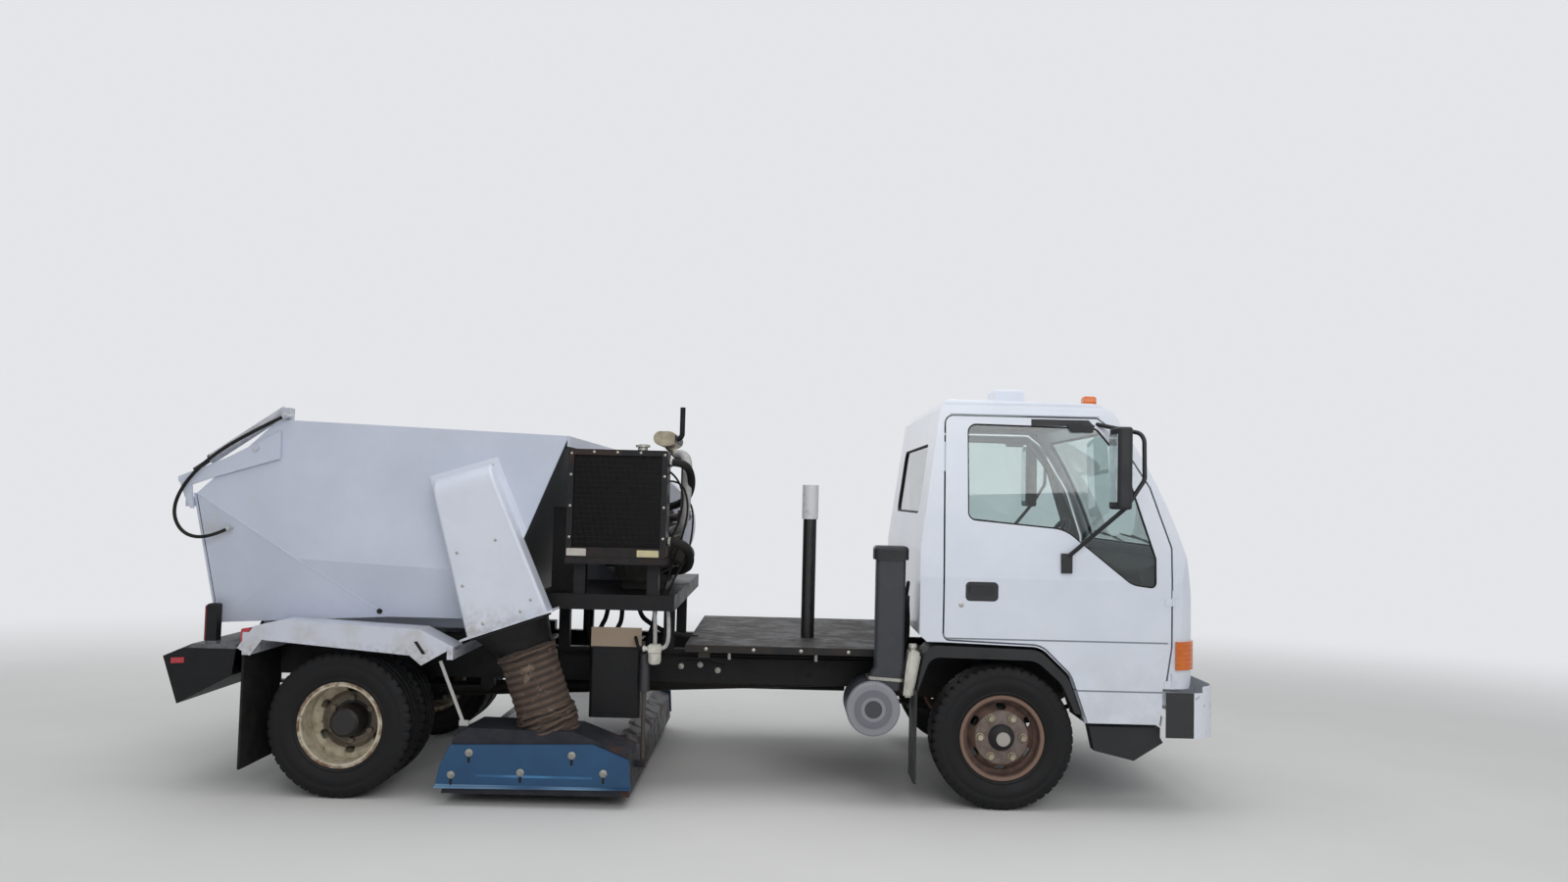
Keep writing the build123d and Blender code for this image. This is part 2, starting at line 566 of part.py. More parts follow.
def rear_fender():
    """White fender over the right rear wheels: folded top, outer skirt and two stays."""
    top = FENDER_TOP
    under = [(x, z - 5) for x, z in reversed(top)]
    inner_y = FENDER_Y + FENDER_SHEET
    right = side_prism(outline(top + under), FENDER_Y, FENDER_Y + 168)
    right += side_prism(outline(top + FENDER_CUT), FENDER_Y, inner_y)
    for x_range, top_z in FENDER_STAYS:
        right += block(x_range, (inner_y, -FRAME_HALF_WIDTH), (717, 757))
        right += block(x_range, (inner_y, inner_y + 36), (735, top_z))
    return both_sides(right)


def mud_flap():
    """Rubber flap behind the right rear wheels."""
    return both_sides(block((-2262, -2250), (-1045, -600), (142, 757)))


def rear_bumper():
    """Black steel rear bumper with sloping underside, open to the front."""
    face = outline([(TAIL_X, 692), (-2536, 757), (-2312, 757), (-2332, 601), (-2603, 454)])
    hollow = outline([(TAIL_X + 8, 688), (-2536, 750), (-2200, 750), (-2200, 680), (-2603, 464)])
    shell = side_prism(face, -1000, 1000) - side_prism(hollow, -992, 992)
    keep_out = block((-2500, -2200), (-FRAME_HALF_WIDTH - 40, FRAME_HALF_WIDTH + 40), (300, 900))
    keep_out += block((FRAME_REAR_X, -2200), (-FRAME_HALF_WIDTH - 1, FRAME_HALF_WIDTH + 1), (300, 900))
    for side in (-1, 1):
        low, high = sorted((side * (FRAME_HALF_WIDTH - RAIL_FLANGE), side * FRAME_HALF_WIDTH))
        bracket = [(FRAME_REAR_X, 560), (FRAME_REAR_X, 700), (-2672, 690), (-2632, 560)]
        keep_out -= side_prism(outline(bracket), low, high)
        shell += side_prism(outline(bracket), low, high)
    return [shell - keep_out] + both_sides(lamp_housing())


TAIL_LAMP_X = -2474.0
TAIL_LAMP_Y = (-995.0, -942.0)


def tail_lamps():
    """Lenses of the lamp clusters that stand on the rear bumper, one each side."""
    lens = block((TAIL_LAMP_X - 10, TAIL_LAMP_X), (TAIL_LAMP_Y[0] + 5, TAIL_LAMP_Y[1] - 5), (770, 950))
    return both_sides(fillet(lens.edges().filter_by(Axis.X), 10))


def lamp_housing():
    """Right lamp's black housing."""
    housing = block((TAIL_LAMP_X, TAIL_LAMP_X + 54), TAIL_LAMP_Y, (757, 960))
    return fillet(housing.edges().group_by(Axis.Z)[-1], 12)


def dump_cylinder():
    """Hoist cylinder between the rails, its rod eye free below the hopper."""
    foot = Vector(-1010, 0, 592)
    eye = Vector(-1716, 0, 795)
    middle = foot + (eye - foot) * 0.72
    reach = FRAME_HALF_WIDTH - RAIL_WALL
    body = bar(tuple(foot), tuple(middle), 50) + bar(tuple(middle), tuple(eye), 26)
    return [body + bar((foot.X, -reach, foot.Z), (foot.X, reach, foot.Z), 25), lift_barrel()]


# Cab

CAB_SIDE = [
    (1150, 884), (1150, 1320), (1247, 2060), (1285, CAB_ROOF_Z), (2060, CAB_ROOF_Z - 8), (2150, 2050),
]
WINDSCREEN_TOP = (2190, 1985)
WINDSCREEN_MID = (2378, 1660)
WINDSCREEN_FOOT = (2520, 1301)
NOSE_MID = (2558, 1097)
NOSE_FOOT = (2571, 877)
CAB_UNDERSIDE = [
    (2571, 690), (2540, 640), (2395, 640), (2395, SILL_Z), (2012, SILL_Z), (2003, 476), (1925, 692),
    (1772, 836), (1264, 850), (1188, 850),
]


CAB_SIDE_BENDS = [((1285, CAB_ROOF_Z), 45), ((2060, CAB_ROOF_Z - 8), 90), ((1925, 692), 120), ((1772, 836), 120)]
CAB_PLAN_HALF_WIDTH = CAB_HALF_WIDTH + 10
CAB_NOSE_SWEEP = 130.0
ROOF_SWEEP = 60.0


def cab_plan(inset):
    """Plan of the cab: the nose's corners swept round into the sides."""
    half = CAB_PLAN_HALF_WIDTH
    plan = outline([(CAB_CUT_X[0], -half), (NOSE_FOOT[0], -half), (NOSE_FOOT[0], half), (CAB_CUT_X[0], half)])
    plan = rounded(plan, [((NOSE_FOOT[0], side * half), CAB_NOSE_SWEEP) for side in (-1, 1)])
    return offset(plan, amount=-inset) if inset else plan


def cab_side_view(inset):
    """The cab's side view, shrunk all round by an inset."""
    top = Polyline(*CAB_SIDE, WINDSCREEN_TOP)
    glass = ThreePointArc(WINDSCREEN_TOP, WINDSCREEN_MID, WINDSCREEN_FOOT)
    lower = Polyline(WINDSCREEN_FOOT, NOSE_MID, NOSE_FOOT, *CAB_UNDERSIDE, CAB_SIDE[0])
    face = rounded(make_face(top.edges() + glass.edges() + lower.edges()), CAB_SIDE_BENDS)
    return offset(face, amount=-inset, kind=Kind.INTERSECTION) if inset else face


def cab_section(inset, foot_z):
    """The cab's front view: upright sides up to the belt, leaning in above it to a rounded roof edge."""
    half = CAB_HALF_WIDTH - inset
    lean = (CAB_HALF_WIDTH - CAB_ROOF_HALF_WIDTH) / (CAB_ROOF_Z - BELT_Z)
    roof_z = CAB_ROOF_Z + 12 - inset
    roof_half = half - lean * (roof_z - BELT_Z)
    right = [(-half, foot_z), (-half, BELT_Z), (-roof_half, roof_z)]
    left = [(-y, z) for y, z in reversed(right)]
    return rounded(outline(right + left), [((side * roof_half, roof_z), ROOF_SWEEP) for side in (-1, 1)])


FLOOR_STEP_X = 2000.0
RAISED_FLOOR_Z = 884.0


def cab_body(inset):
    """A solid with the cab's outer shape, shrunk by an inset."""
    body = across(cab_side_view(inset)) & along(cab_section(inset, CAB_CUT_Z[0]))
    body = body & plan_prism(cab_plan(inset), *CAB_CUT_Z)
    well = STEP_WELL_Y + inset
    middle = block((CAB_CUT_X[0] + 100, NOSE_FOOT[0] - CAB_WALL + inset), (-well, well),
                   (CAB_CUT_Z[0], FLOOR_Z + inset))
    behind = block((CAB_CUT_X[0] + 100, FLOOR_STEP_X + inset), (-well, well), (CAB_CUT_Z[0], RAISED_FLOOR_Z + inset))
    return body - middle - behind


CAB_CUT_X = (CAB_SIDE[0][0] - 150, NOSE_FOOT[0] + 130)
CAB_CUT_Y = (-CAB_HALF_WIDTH - 60, CAB_HALF_WIDTH + 60)
CAB_CUT_Z = (SILL_Z - 150, CAB_ROOF_Z + 200)


def across(sketch):
    """A side view run right across the cab."""
    return side_prism(sketch, *CAB_CUT_Y)


def along(sketch):
    """A front view run right along the cab."""
    return cross_prism(sketch, *CAB_CUT_X)


DOOR_OUTLINE = [
    (1276, 866), (1276, 2015), (2062, 2015), (2140, 1960), (2330, 1660), (2436, 1355), (2436, 850), (2400, 600),
    (2380, 458), (2016, 458), (2010, 476), (1930, 702), (1776, 850),
]
DOOR_BENDS = [((1276, 866), 30), ((1276, 2015), 40), ((1930, 702), 120), ((1776, 850), 120)]
WINDOW_OUTLINE = [
    (1388, 1978), (1392, 1476), (1890, 1436), (2235, 1160), (2360, 1145), (2362, 1300), (2200, 1800), (2060, 1970),
]
WINDOW_BENDS = [
    ((1388, 1978), 45), ((1392, 1476), 45), ((1890, 1436), 180), ((2235, 1160), 120), ((2360, 1145), 28),
    ((2200, 1800), 300), ((2060, 1970), 50),
]
HANDLE_X = (1382.0, 1550.0)
HANDLE_Z = (1062.0, 1161.0)
HANDLE_DEPTH = 8.0
CREASE_HEIGHTS = (870.0, 620.0)
CREASE_DEPTH = 3.0
DOOR_CUT_Y = (-CAB_HALF_WIDTH - 50, -CAB_HALF_WIDTH + 250)


def door_outline():
    return rounded(outline(DOOR_OUTLINE), DOOR_BENDS)


def window_outline():
    return rounded(outline(WINDOW_OUTLINE), WINDOW_BENDS)


def door():
    """The right door: outer skin, an inner layer set in from the skin's edges, window, creases and handle recess."""
    face = door_outline()
    skin_inside = along(cab_section(DOOR_SKIN, CAB_CUT_Z[0]))
    skin = (side_prism(face, *DOOR_CUT_Y) & cab_body(0)) - skin_inside
    inner = side_prism(offset(face, amount=-10, kind=Kind.INTERSECTION), *DOOR_CUT_Y) & skin_inside
    inner -= along(cab_section(DOOR_WALL, CAB_CUT_Z[0]))
    leaf = skin + inner - side_prism(window_outline(), *DOOR_CUT_Y)
    outer_y = -CAB_HALF_WIDTH
    for z in CREASE_HEIGHTS:
        leaf -= block(CAB_CUT_X, (outer_y - 1, outer_y + CREASE_DEPTH), (z - 3, z + 3))
    recess = block(HANDLE_X, (outer_y - 1, outer_y + HANDLE_DEPTH), HANDLE_Z)
    leaf -= fillet(recess.edges().filter_by(Axis.Y), 24)
    for z in HINGE_HEIGHTS:
        leaf += bar((DOOR_HINGE_X, DOOR_HINGE_Y, z), (DOOR_HINGE_X, DOOR_HINGE_Y, z + 40), HINGE_RADIUS)
        leaf += block((DOOR_HINGE_X - 40, DOOR_HINGE_X), (DOOR_HINGE_Y + 1, -CAB_HALF_WIDTH), (z, z + 40))
    return leaf


def door_glass():
    """Right door glass, filling the window's opening."""
    pane = side_prism(window_outline(), *DOOR_CUT_Y) & along(cab_section(GLASS_INSET, CAB_CUT_Z[0]))
    return pane - along(cab_section(GLASS_INSET + GLASS_WALL, CAB_CUT_Z[0]))


SEAT_FOOT_Z = 1060.0
REAR_WINDOW = [(-600, 1500), (-600, 1880), (600, 1880), (600, 1500)]
WINDSCREEN = [(-800, 1345), (-735, 1965), (735, 1965), (800, 1345)]


# side views of the cab's front panel, cut along the door's front edge, and of its rear panel
FRONT_PANEL = [(2100, 2024), (2800, 2024), (2800, 300), (2425, 300), (2425, 850), (2440, 1355), (2336, 1668), (2150, 1950)]
REAR_PANEL_X = 1300.0
WINDSCREEN_CUT_X = 2100.0
DRIP_RAIL = [(1300, 2027), (2076, 2027), (2076, 2036), (1300, 2036)]
DRIP_RAIL_REACH = 10.0


def cab_openings():
    """What the doors, their gaps, the windscreen and the rear window take out of the cab's walls."""
    gap = offset(door_outline(), amount=DOOR_GAP, kind=Kind.INTERSECTION)
    cut = across(gap) - along(cab_section(CAB_WALL, CAB_CUT_Z[0]))
    cut += across(window_outline())
    return [cut, cross_prism(rear_window(), CAB_CUT_X[0], REAR_PANEL_X + 100),
            cross_prism(windscreen(), WINDSCREEN_CUT_X, CAB_CUT_X[1])]


def rear_window():
    return rounded(outline(REAR_WINDOW), [(point, 60) for point in REAR_WINDOW])


def windscreen():
    return rounded(outline(WINDSCREEN), [(point, 50) for point in WINDSCREEN])


@cache
def cab_panels():
    """Cab shell with its openings, parted into roof, rear panel, front panel and floor."""
    shell = cab_body(0) - cab_body(CAB_WALL)
    for cut in cab_openings():
        shell -= cut
    above = block(CAB_CUT_X, CAB_CUT_Y, (ROOF_JOINT_Z, CAB_CUT_Z[1]))
    behind = block((CAB_CUT_X[0], REAR_PANEL_X), CAB_CUT_Y, CAB_CUT_Z)
    behind += block((REAR_PANEL_X, REAR_PANEL_X + 100), CAB_CUT_Y, (BELT_Z, CAB_CUT_Z[1]))
    ahead = across(outline(FRONT_PANEL)) + block((REAR_PANEL_X + 100, CAB_CUT_X[1]), CAB_CUT_Y, (BELT_Z, CAB_CUT_Z[1]))
    lower = shell - above
    sides = lower - behind
    return {"roof": shell & above, "rear": lower & behind, "front": sides & ahead, "floor": sides - ahead}


ROOF_BOX_X = (1608.0, 1776.0)
ROOF_BOX_Y = (-420.0, -180.0)


def cab_roof():
    """Roof panel with its drip rails and the low box on top."""
    rails = across(outline(DRIP_RAIL)) & along(cab_section(-DRIP_RAIL_REACH, CAB_CUT_Z[0]))
    rails -= cab_body(0)
    inset_x = (ROOF_BOX_X[0] + 4, ROOF_BOX_X[1] - 4)
    inset_y = (ROOF_BOX_Y[0] + 4, ROOF_BOX_Y[1] - 4)
    foot = block(ROOF_BOX_X, ROOF_BOX_Y, (CAB_ROOF_Z - 25, 2160))
    lid = fillet(block(inset_x, inset_y, (2160, 2205)).edges().group_by(Axis.Z)[-1], 14)
    return [cab_panels()["roof"] + rails, foot + lid - cab_body(0)]


def cab_rear():
    return cab_panels()["rear"]


def cab_front():
    """Front panel with pillars, the cab's halves of the door hinges, and the lugs and pins that it tilts on."""
    panel = cab_panels()["front"]
    for z in HINGE_HEIGHTS:
        knuckle_half = bar((DOOR_HINGE_X, DOOR_HINGE_Y, z + 40), (DOOR_HINGE_X, DOOR_HINGE_Y, z + 80), HINGE_RADIUS)
        knuckle_half += block((DOOR_HINGE_X, DOOR_HINGE_X + 30), (DOOR_HINGE_Y + 1, -CAB_HALF_WIDTH), (z + 40, z + 80))
        panel += knuckle_half + mirror(knuckle_half, Plane.XZ)
    for side in (-1, 1):
        low, high = sorted((side * (CAB_LUG_Y - 12), side * (CAB_LUG_Y + 12)))
        panel += block((CAB_PIVOT_X - 24, CAB_PIVOT_X + 24), (low, high), (CAB_PIVOT_Z, FLOOR_Z + 4))
        panel += bar((CAB_PIVOT_X, low, CAB_PIVOT_Z), (CAB_PIVOT_X, high, CAB_PIVOT_Z), 24)
        panel += bar((CAB_PIVOT_X, side * CAB_LUG_Y, CAB_PIVOT_Z),
                     (CAB_PIVOT_X, side * (CAB_LUG_Y + 46), CAB_PIVOT_Z), CAB_PIN_RADIUS)
    return panel


ENGINE_COVER_X = (1300.0, 1850.0)
ENGINE_COVER_Y = (-780.0, 780.0)


def cab_floor():
    """Floor pan, the pressing with arch cover and step well on each side, and the cover that the seats stand on."""
    panel = cab_panels()["floor"]
    cover = block(ENGINE_COVER_X, ENGINE_COVER_Y, (RAISED_FLOOR_Z + CAB_WALL, SEAT_FOOT_Z))
    middle = block(CAB_CUT_X, (-STEP_WELL_Y, STEP_WELL_Y), CAB_CUT_Z)
    outer = block(CAB_CUT_X, (CAB_CUT_Y[0], -STEP_WELL_Y), CAB_CUT_Z)
    return [panel & middle, *both_sides(panel & outer), cover]


def cab_glass():
    """Windscreen and rear window."""
    outside = across(cab_side_view(GLASS_INSET)) - across(cab_side_view(GLASS_INSET + GLASS_WALL))
    return [cross_prism(windscreen(), WINDSCREEN_CUT_X, CAB_CUT_X[1]) & outside,
            cross_prism(rear_window(), CAB_CUT_X[0], REAR_PANEL_X + 100) & outside]


SEAT_Y = (-740.0, -240.0)
SEAT_SIDE = [(1330, 1180), (1840, 1180), (1840, SEAT_FOOT_Z), (1330, SEAT_FOOT_Z)]
SEAT_BACK_SIDE = [(1270, 1180), (1270, 1780), (1340, 1780), (1430, 1180)]


def seats():
    """Two seats, each a cushion with a leaning back on it."""
    cushion = fillet(side_prism(outline(SEAT_SIDE), *SEAT_Y).edges().filter_by(Axis.Z), 50)
    back = rounded(outline(SEAT_BACK_SIDE), [(SEAT_BACK_SIDE[1], 30), (SEAT_BACK_SIDE[2], 30)])
    return both_sides(cushion) + both_sides(side_prism(back, *SEAT_Y))


DASH_SIDE = [(2280, 1230), (2420, 1290), (2600, 1290), (2600, 880), (2440, 880)]
WHEEL_HUB = (2120, 380, 1290)
WHEEL_TILT = (-280, 0, 140)


def dashboard():
    """Dashboard across the cab under the windscreen, with the column and wheel on the left."""
    dash = side_prism(rounded(outline(DASH_SIDE), [(DASH_SIDE[0], 40), (DASH_SIDE[1], 60)]), -880, 880)
    column = bar((2400, WHEEL_HUB[1], 1150), WHEEL_HUB, 24)
    wheel_plane = Plane(origin=WHEEL_HUB, z_dir=WHEEL_TILT)
    rim = wheel_plane * Torus(205, 15)
    spokes = wheel_plane * (Box(400, 36, 16) + Cylinder(60, 30))
    return (dash + column + rim + spokes) & cab_body(CAB_WALL)


def grille():
    """Slatted panel and lamp pods on the nose."""
    body = None
    for z in range(722, 850, 24):
        slat = block((2571, 2587), (-480, 480), (z, z + 10))
        body = slat if body is None else body + slat
    for y in (-470, -160, 160, 470):
        body += block((2571, 2583), (y - 8, y + 8), (722, 852))
    return body


def headlamps():
    return both_sides(block((2571, 2592), (-790, -540), (710, 860)))


def marker_lamps():
    """Amber lamps: one round each front corner of the cab and five along the roof's front edge."""
    ring = offset(cab_plan(0), amount=11) & outline([(2458, -1000), (2620, -1000), (2620, -812), (2458, -812)])
    corner_lamp = plan_prism(ring, 738, 880) - cab_body(0)
    lamps = both_sides(corner_lamp)
    for y in (-700, -150, 0, 150, 700):
        lamp = block((2030, 2100), (y - 24, y + 24), (2060, 2150))
        lamps.append(fillet(lamp.edges().group_by(Axis.Z)[-1], 16) - cab_body(0))
    return lamps


# route of the mirror's arm: x, y outwards from the door's face, z
MIRROR_ARM = [(1895, 5, 1290), (2150, -175, 1560), (2240, -175, 1700), (2240, -160, 1930), (2060, 80, 1990)]
MIRROR_ARM_RADIUS = 11.0
MIRROR_HEAD_X = (2090.0, 2165.0)
MIRROR_HEAD_Y = (-240.0, -60.0)
MIRROR_HEAD_Z = (1549.0, 1960.0)
MIRROR_FOOT_X = (1870.0, 1925.0)
MIRROR_FOOT_Z = (1216.0, 1316.0)


def mirror_set():
    """Right mirror: head on a bent tube from the door's lower bracket to its top frame; and the door's handle."""
    outer_y = -CAB_HALF_WIDTH
    route = [(x, outer_y + y, z) for x, y, z in MIRROR_ARM]
    arm = bent_bar(route, MIRROR_ARM_RADIUS, 60)
    head_y = (outer_y + MIRROR_HEAD_Y[0], outer_y + MIRROR_HEAD_Y[1])
    head = fillet(block(MIRROR_HEAD_X, head_y, MIRROR_HEAD_Z).edges().filter_by(Axis.Z), 24)
    head = fillet(head.edges().group_by(Axis.Z)[-1] + head.edges().group_by(Axis.Z)[0], 14)
    foot = block(MIRROR_FOOT_X, (outer_y - 12, outer_y + 20), MIRROR_FOOT_Z)
    lever = block((HANDLE_X[0] + 20, HANDLE_X[1] - 20), (outer_y - 2, outer_y + HANDLE_DEPTH),
                  (HANDLE_Z[0] + 34, HANDLE_Z[1] - 22))
    return [(arm + head + foot) - cab_body(0), fillet(lever.edges().filter_by(Axis.Y), 12)]


# Hopper

GATE_TOP = (-2549, 1519)
ROOF_REAR = (-2149, 1903)
ROOF_FRONT = (-665, 1855)
FOOT_FRONT = (-1050, 905)
FOOT_FOLD = (-1579, 905)
FOOT_REAR = (-2452, 856)
FOLD_POINT = (-2032, 1197)
FOLD_FRONT = (-951, 1148)


def corner(point, half_width):
    """A corner of the hopper's right side."""
    return (point[0], -half_width, point[1])


def hopper_panels():
    """The four flat panels of the right side: upper, lower front and two behind the diagonal fold."""
    wide, narrow = HOPPER_HALF_WIDTH, HOPPER_FOOT_HALF_WIDTH
    upper = [GATE_TOP, FOLD_POINT, FOLD_FRONT, ROOF_FRONT, ROOF_REAR]
    panels = [[corner(p, wide) for p in upper]]
    panels.append([corner(FOLD_POINT, wide), corner(FOOT_FOLD, narrow), corner(FOLD_FRONT, wide)])
    panels.append([corner(FOLD_FRONT, wide), corner(FOOT_FOLD, narrow), corner(FOOT_FRONT, narrow)])
    panels.append([corner(GATE_TOP, wide), corner(FOOT_REAR, narrow), corner(FOLD_POINT, wide)])
    panels.append([corner(FOLD_POINT, wide), corner(FOOT_REAR, narrow), corner(FOOT_FOLD, narrow)])
    return panels


def hopper_side_solid(depth):
    """The right side's panels run inwards to a given depth."""
    body = None
    for points in hopper_panels():
        face = make_face(Polyline(*points, close=True))
        slab = extrude(face, depth, dir=(0, 1, 0))
        body = slab if body is None else body + slab
    return body


# side views of the duct (x, z) and of the port through the hopper's side
DUCT_SIDE = [(-1329, 1612), (-1043, 1702), (-717, 967), (-1114, 826)]
DUCT_PORT = [(-1250, 1560), (-1080, 1615), (-1010, 1450), (-1170, 1400)]
DUCT_DEPTH = 130.0
DUCT_TOP_SWEEP = 100.0
DUCT_LONG_BEND = 16.0
DUCT_FLANGE_REACH = 30.0
DUCT_SEAM_Y = (-HOPPER_HALF_WIDTH - 50, -HOPPER_HALF_WIDTH + 50)
DUCT_FOOT_FLANGE = 10.0
FOOT_SEAL_GAP = 6.0


def hopper_side(right):
    sheet = hopper_side_solid(SHEET)
    if right:
        return sheet - side_prism(outline(DUCT_PORT), -HOPPER_HALF_WIDTH - SHEET, -HOPPER_HALF_WIDTH + 2 * SHEET)
    return mirror(sheet, Plane.XZ)


def folded_sheet(points, rise, shift=0):
    """The side view of a sheet folded along a line of points, thickened by a rise and a shift."""
    return outline(points + [(x + shift, z + rise) for x, z in reversed(points)])


FRONT_LIP_FOOT_Z = 1801.0


def hopper_roof():
    """Roof sheet with its rear slope, folded down at the front into a lip, inside the side sheets."""
    half = HOPPER_HALF_WIDTH - SHEET
    sheet = side_prism(folded_sheet([GATE_TOP, ROOF_REAR, ROOF_FRONT], -SHEET - 2), -half, half)
    sheet += block((ROOF_FRONT[0] - SHEET - 2, ROOF_FRONT[0]), (-half, half), (FRONT_LIP_FOOT_Z, ROOF_FRONT[1]))
    return sheet - hopper_outside()


def hopper_outside():
    """All that lies outside the side sheets' inner faces, on both sides."""
    body = None
    for points in hopper_panels():
        face = Pos(0, SHEET, 0) * make_face(Polyline(*points, close=True))
        slab = extrude(face, 300, dir=(0, -1, 0))
        body = slab if body is None else body + slab
    return body + mirror(body, Plane.XZ)


# where the sloping wall meets the roof, behind the lip
FRONT_WALL_TOP = (ROOF_FRONT[0] - 22, ROOF_FRONT[1])


def hopper_front():
    """Sloping front wall and the upright lip along its top, clipped between the side sheets."""
    wall = side_prism(folded_sheet([FOOT_FRONT, FOLD_FRONT, FRONT_WALL_TOP], 0, -SHEET - 2),
                      -HOPPER_HALF_WIDTH, HOPPER_HALF_WIDTH)
    return wall - hopper_outside() - hopper_roof()


def hopper_floor():
    """Floor sheet on two long sills that rest on the subframe, with the pivot bosses."""
    narrow = HOPPER_FOOT_HALF_WIDTH - SHEET
    floor = side_prism(folded_sheet([FOOT_REAR, FOOT_FOLD, (FOOT_FRONT[0] - 10, FOOT_FRONT[1])], SHEET), -narrow, narrow)
    y_mid = FRAME_HALF_WIDTH - SUBFRAME_TUBE / 2
    for side in (-1, 1):
        sill = side_prism(outline([(-2440, 800), (-2440, 859), (-1579, 908), (-1060, 908), (-1060, 800)]),
                          side * y_mid - 25, side * y_mid + 25)
        pin = bar((DUMP_PIVOT_X, side * y_mid, DUMP_PIVOT_Z), (DUMP_PIVOT_X, side * (y_mid + 66), DUMP_PIVOT_Z), 16)
        floor += sill + pin
        floor += block((-1120, -1070), (side * y_mid - 25, side * y_mid + 25), (SUBFRAME_TOP - 20, 800))
    return floor + bar((-1760, -y_mid, 830), (-1760, y_mid, 830), 22)


def duct_shape(inset):
    """The duct's outer shape, its top end swept in towards the hopper, shrunk by an inset."""
    side = offset(outline(DUCT_SIDE), amount=-inset, kind=Kind.INTERSECTION) if inset else outline(DUCT_SIDE)
    outer_y = -HOPPER_HALF_WIDTH - DUCT_DEPTH + inset
    shape = side_prism(side, outer_y, -HOPPER_HALF_WIDTH - inset)
    outside = shape.edges().group_by(Axis.Y)[0].sort_by(Axis.Z)
    shape = fillet(outside[-1], DUCT_TOP_SWEEP - inset)
    outside = shape.edges().group_by(Axis.Y)[0].sort_by(Axis.X)
    return fillet([outside[0], outside[-1]], DUCT_LONG_BEND - inset)


def side_duct():
    """Suction duct on the hopper's right side, closed all round, open at its foot and through the port."""
    foot_rear, foot_front = Vector(-1114, 0, 826), Vector(-717, 0, 967)
    along_foot = (foot_front - foot_rear).normalized()
    up = Vector(-along_foot.Z, 0, along_foot.X)
    body = duct_shape(0) - duct_shape(SHEET)
    mouth = [foot_rear + along_foot * SHEET + up * 2 * SHEET, foot_front - along_foot * SHEET + up * 2 * SHEET,
             foot_front - along_foot * SHEET - up * 40, foot_rear + along_foot * SHEET - up * 40]
    mouth_y = (-HOPPER_HALF_WIDTH - DUCT_DEPTH + SHEET, -HOPPER_HALF_WIDTH - SHEET)
    mouth_hole = side_prism(outline([(p.X, p.Z) for p in mouth]), *mouth_y)
    rim = DUCT_FLANGE_REACH
    plate = [foot_rear - along_foot * rim, foot_front + along_foot * rim,
             foot_front + along_foot * rim + up * DUCT_FOOT_FLANGE, foot_rear - along_foot * rim + up * DUCT_FOOT_FLANGE]
    body += side_prism(outline([(p.X, p.Z) for p in plate]), mouth_y[0] - rim, mouth_y[1] + rim)
    body -= mouth_hole + side_prism(outline(DUCT_PORT), mouth_y[1] - 1, mouth_y[1] + 40)
    seam = offset(outline(DUCT_SIDE), amount=DUCT_FLANGE_REACH, kind=Kind.INTERSECTION) - outline(DUCT_SIDE)
    seam = side_prism(seam, -HOPPER_HALF_WIDTH - SHEET, -HOPPER_HALF_WIDTH)
    upper = side_prism(outline([GATE_TOP, FOLD_POINT, FOLD_FRONT, ROOF_FRONT, ROOF_REAR]), *DUCT_SEAM_Y)
    return body + (seam & upper)


def tailgate():
    """Rear door with three upright ribs."""
    gap = MOVING_GAP
    face = make_face(Polyline(
        (GATE_TOP[0] - gap, -994, GATE_TOP[1]), (GATE_TOP[0] - gap, 994, GATE_TOP[1]),
        (FOOT_REAR[0] - gap, 894, FOOT_REAR[1]), (FOOT_REAR[0] - gap, -894, FOOT_REAR[1]), close=True))
    door_sheet = extrude(face, 12, dir=(-1, 0, 0))
    for y in (-600, 0, 600):
        door_sheet += side_prism(outline([
            (GATE_TOP[0] - gap - 10, GATE_TOP[1] - 30), (GATE_TOP[0] - gap - 50, GATE_TOP[1] - 60),
            (FOOT_REAR[0] - gap - 50, FOOT_REAR[1] + 60), (FOOT_REAR[0] - gap - 10, FOOT_REAR[1] + 30)]), y - 30, y + 30)
    for arm in tailgate_arms():
        door_sheet += arm
    return door_sheet


def tailgate_arms():
    """Arm plates outside the hopper's sides, from the pivots to the door's top with their horns."""
    face = outline([(-2127, 1703), (-2130, 1842), (-2399, 1700), (-2640, 1600), (-2600, 1500), (-2570, 1440),
                    (-2556, 1440), (-2570, 1560), (-2462, 1600)])
    right = side_prism(face, -1022, -1006)
    right -= bar((GATE_PIVOT_X, -1100, GATE_PIVOT_Z), (GATE_PIVOT_X, -900, GATE_PIVOT_Z), GATE_PIN_RADIUS + FIT_GAP)
    right += block((-2600, -2566), (-1010, -970), (1450, 1500))
    right += bar((-2625, -1022, 1585), (-2625, -930, 1585), 12)
    return both_sides(right)


def gate_pin():
    return bar((GATE_PIVOT_X, -1000, GATE_PIVOT_Z), (GATE_PIVOT_X, -1034, GATE_PIVOT_Z), GATE_PIN_RADIUS)


def gate_cylinders():
    """Tailgate cylinders on the rear slope, each open at its rod eye."""
    start = (-2132, -955, 1954)
    middle = (-2510, -955, 1692)
    end = (-2590, -955, 1636)
    body = bar(start, middle, 26) + bar(middle, end, 12)
    body += block((-2148, -2100), (-985, -925), (ROOF_REAR[1], 1965))
    first, second = hose_fittings()
    return [body + first, mirror(body, Plane.XZ), second - hopper_side_solid(200)] + both_sides(gate_pin())


HOSE_LINE_RADIUS = 9.0
HOSE_LINE = [
    (-2110, -1045, 1915), (-2290, -1045, 1822), (-2470, -1045, 1704), (-2602, -1045, 1560),
    (-2650, -1045, 1420), (-2592, -1045, 1310), (-2470, -1042, 1290), (-2381, -1020, 1339),
]


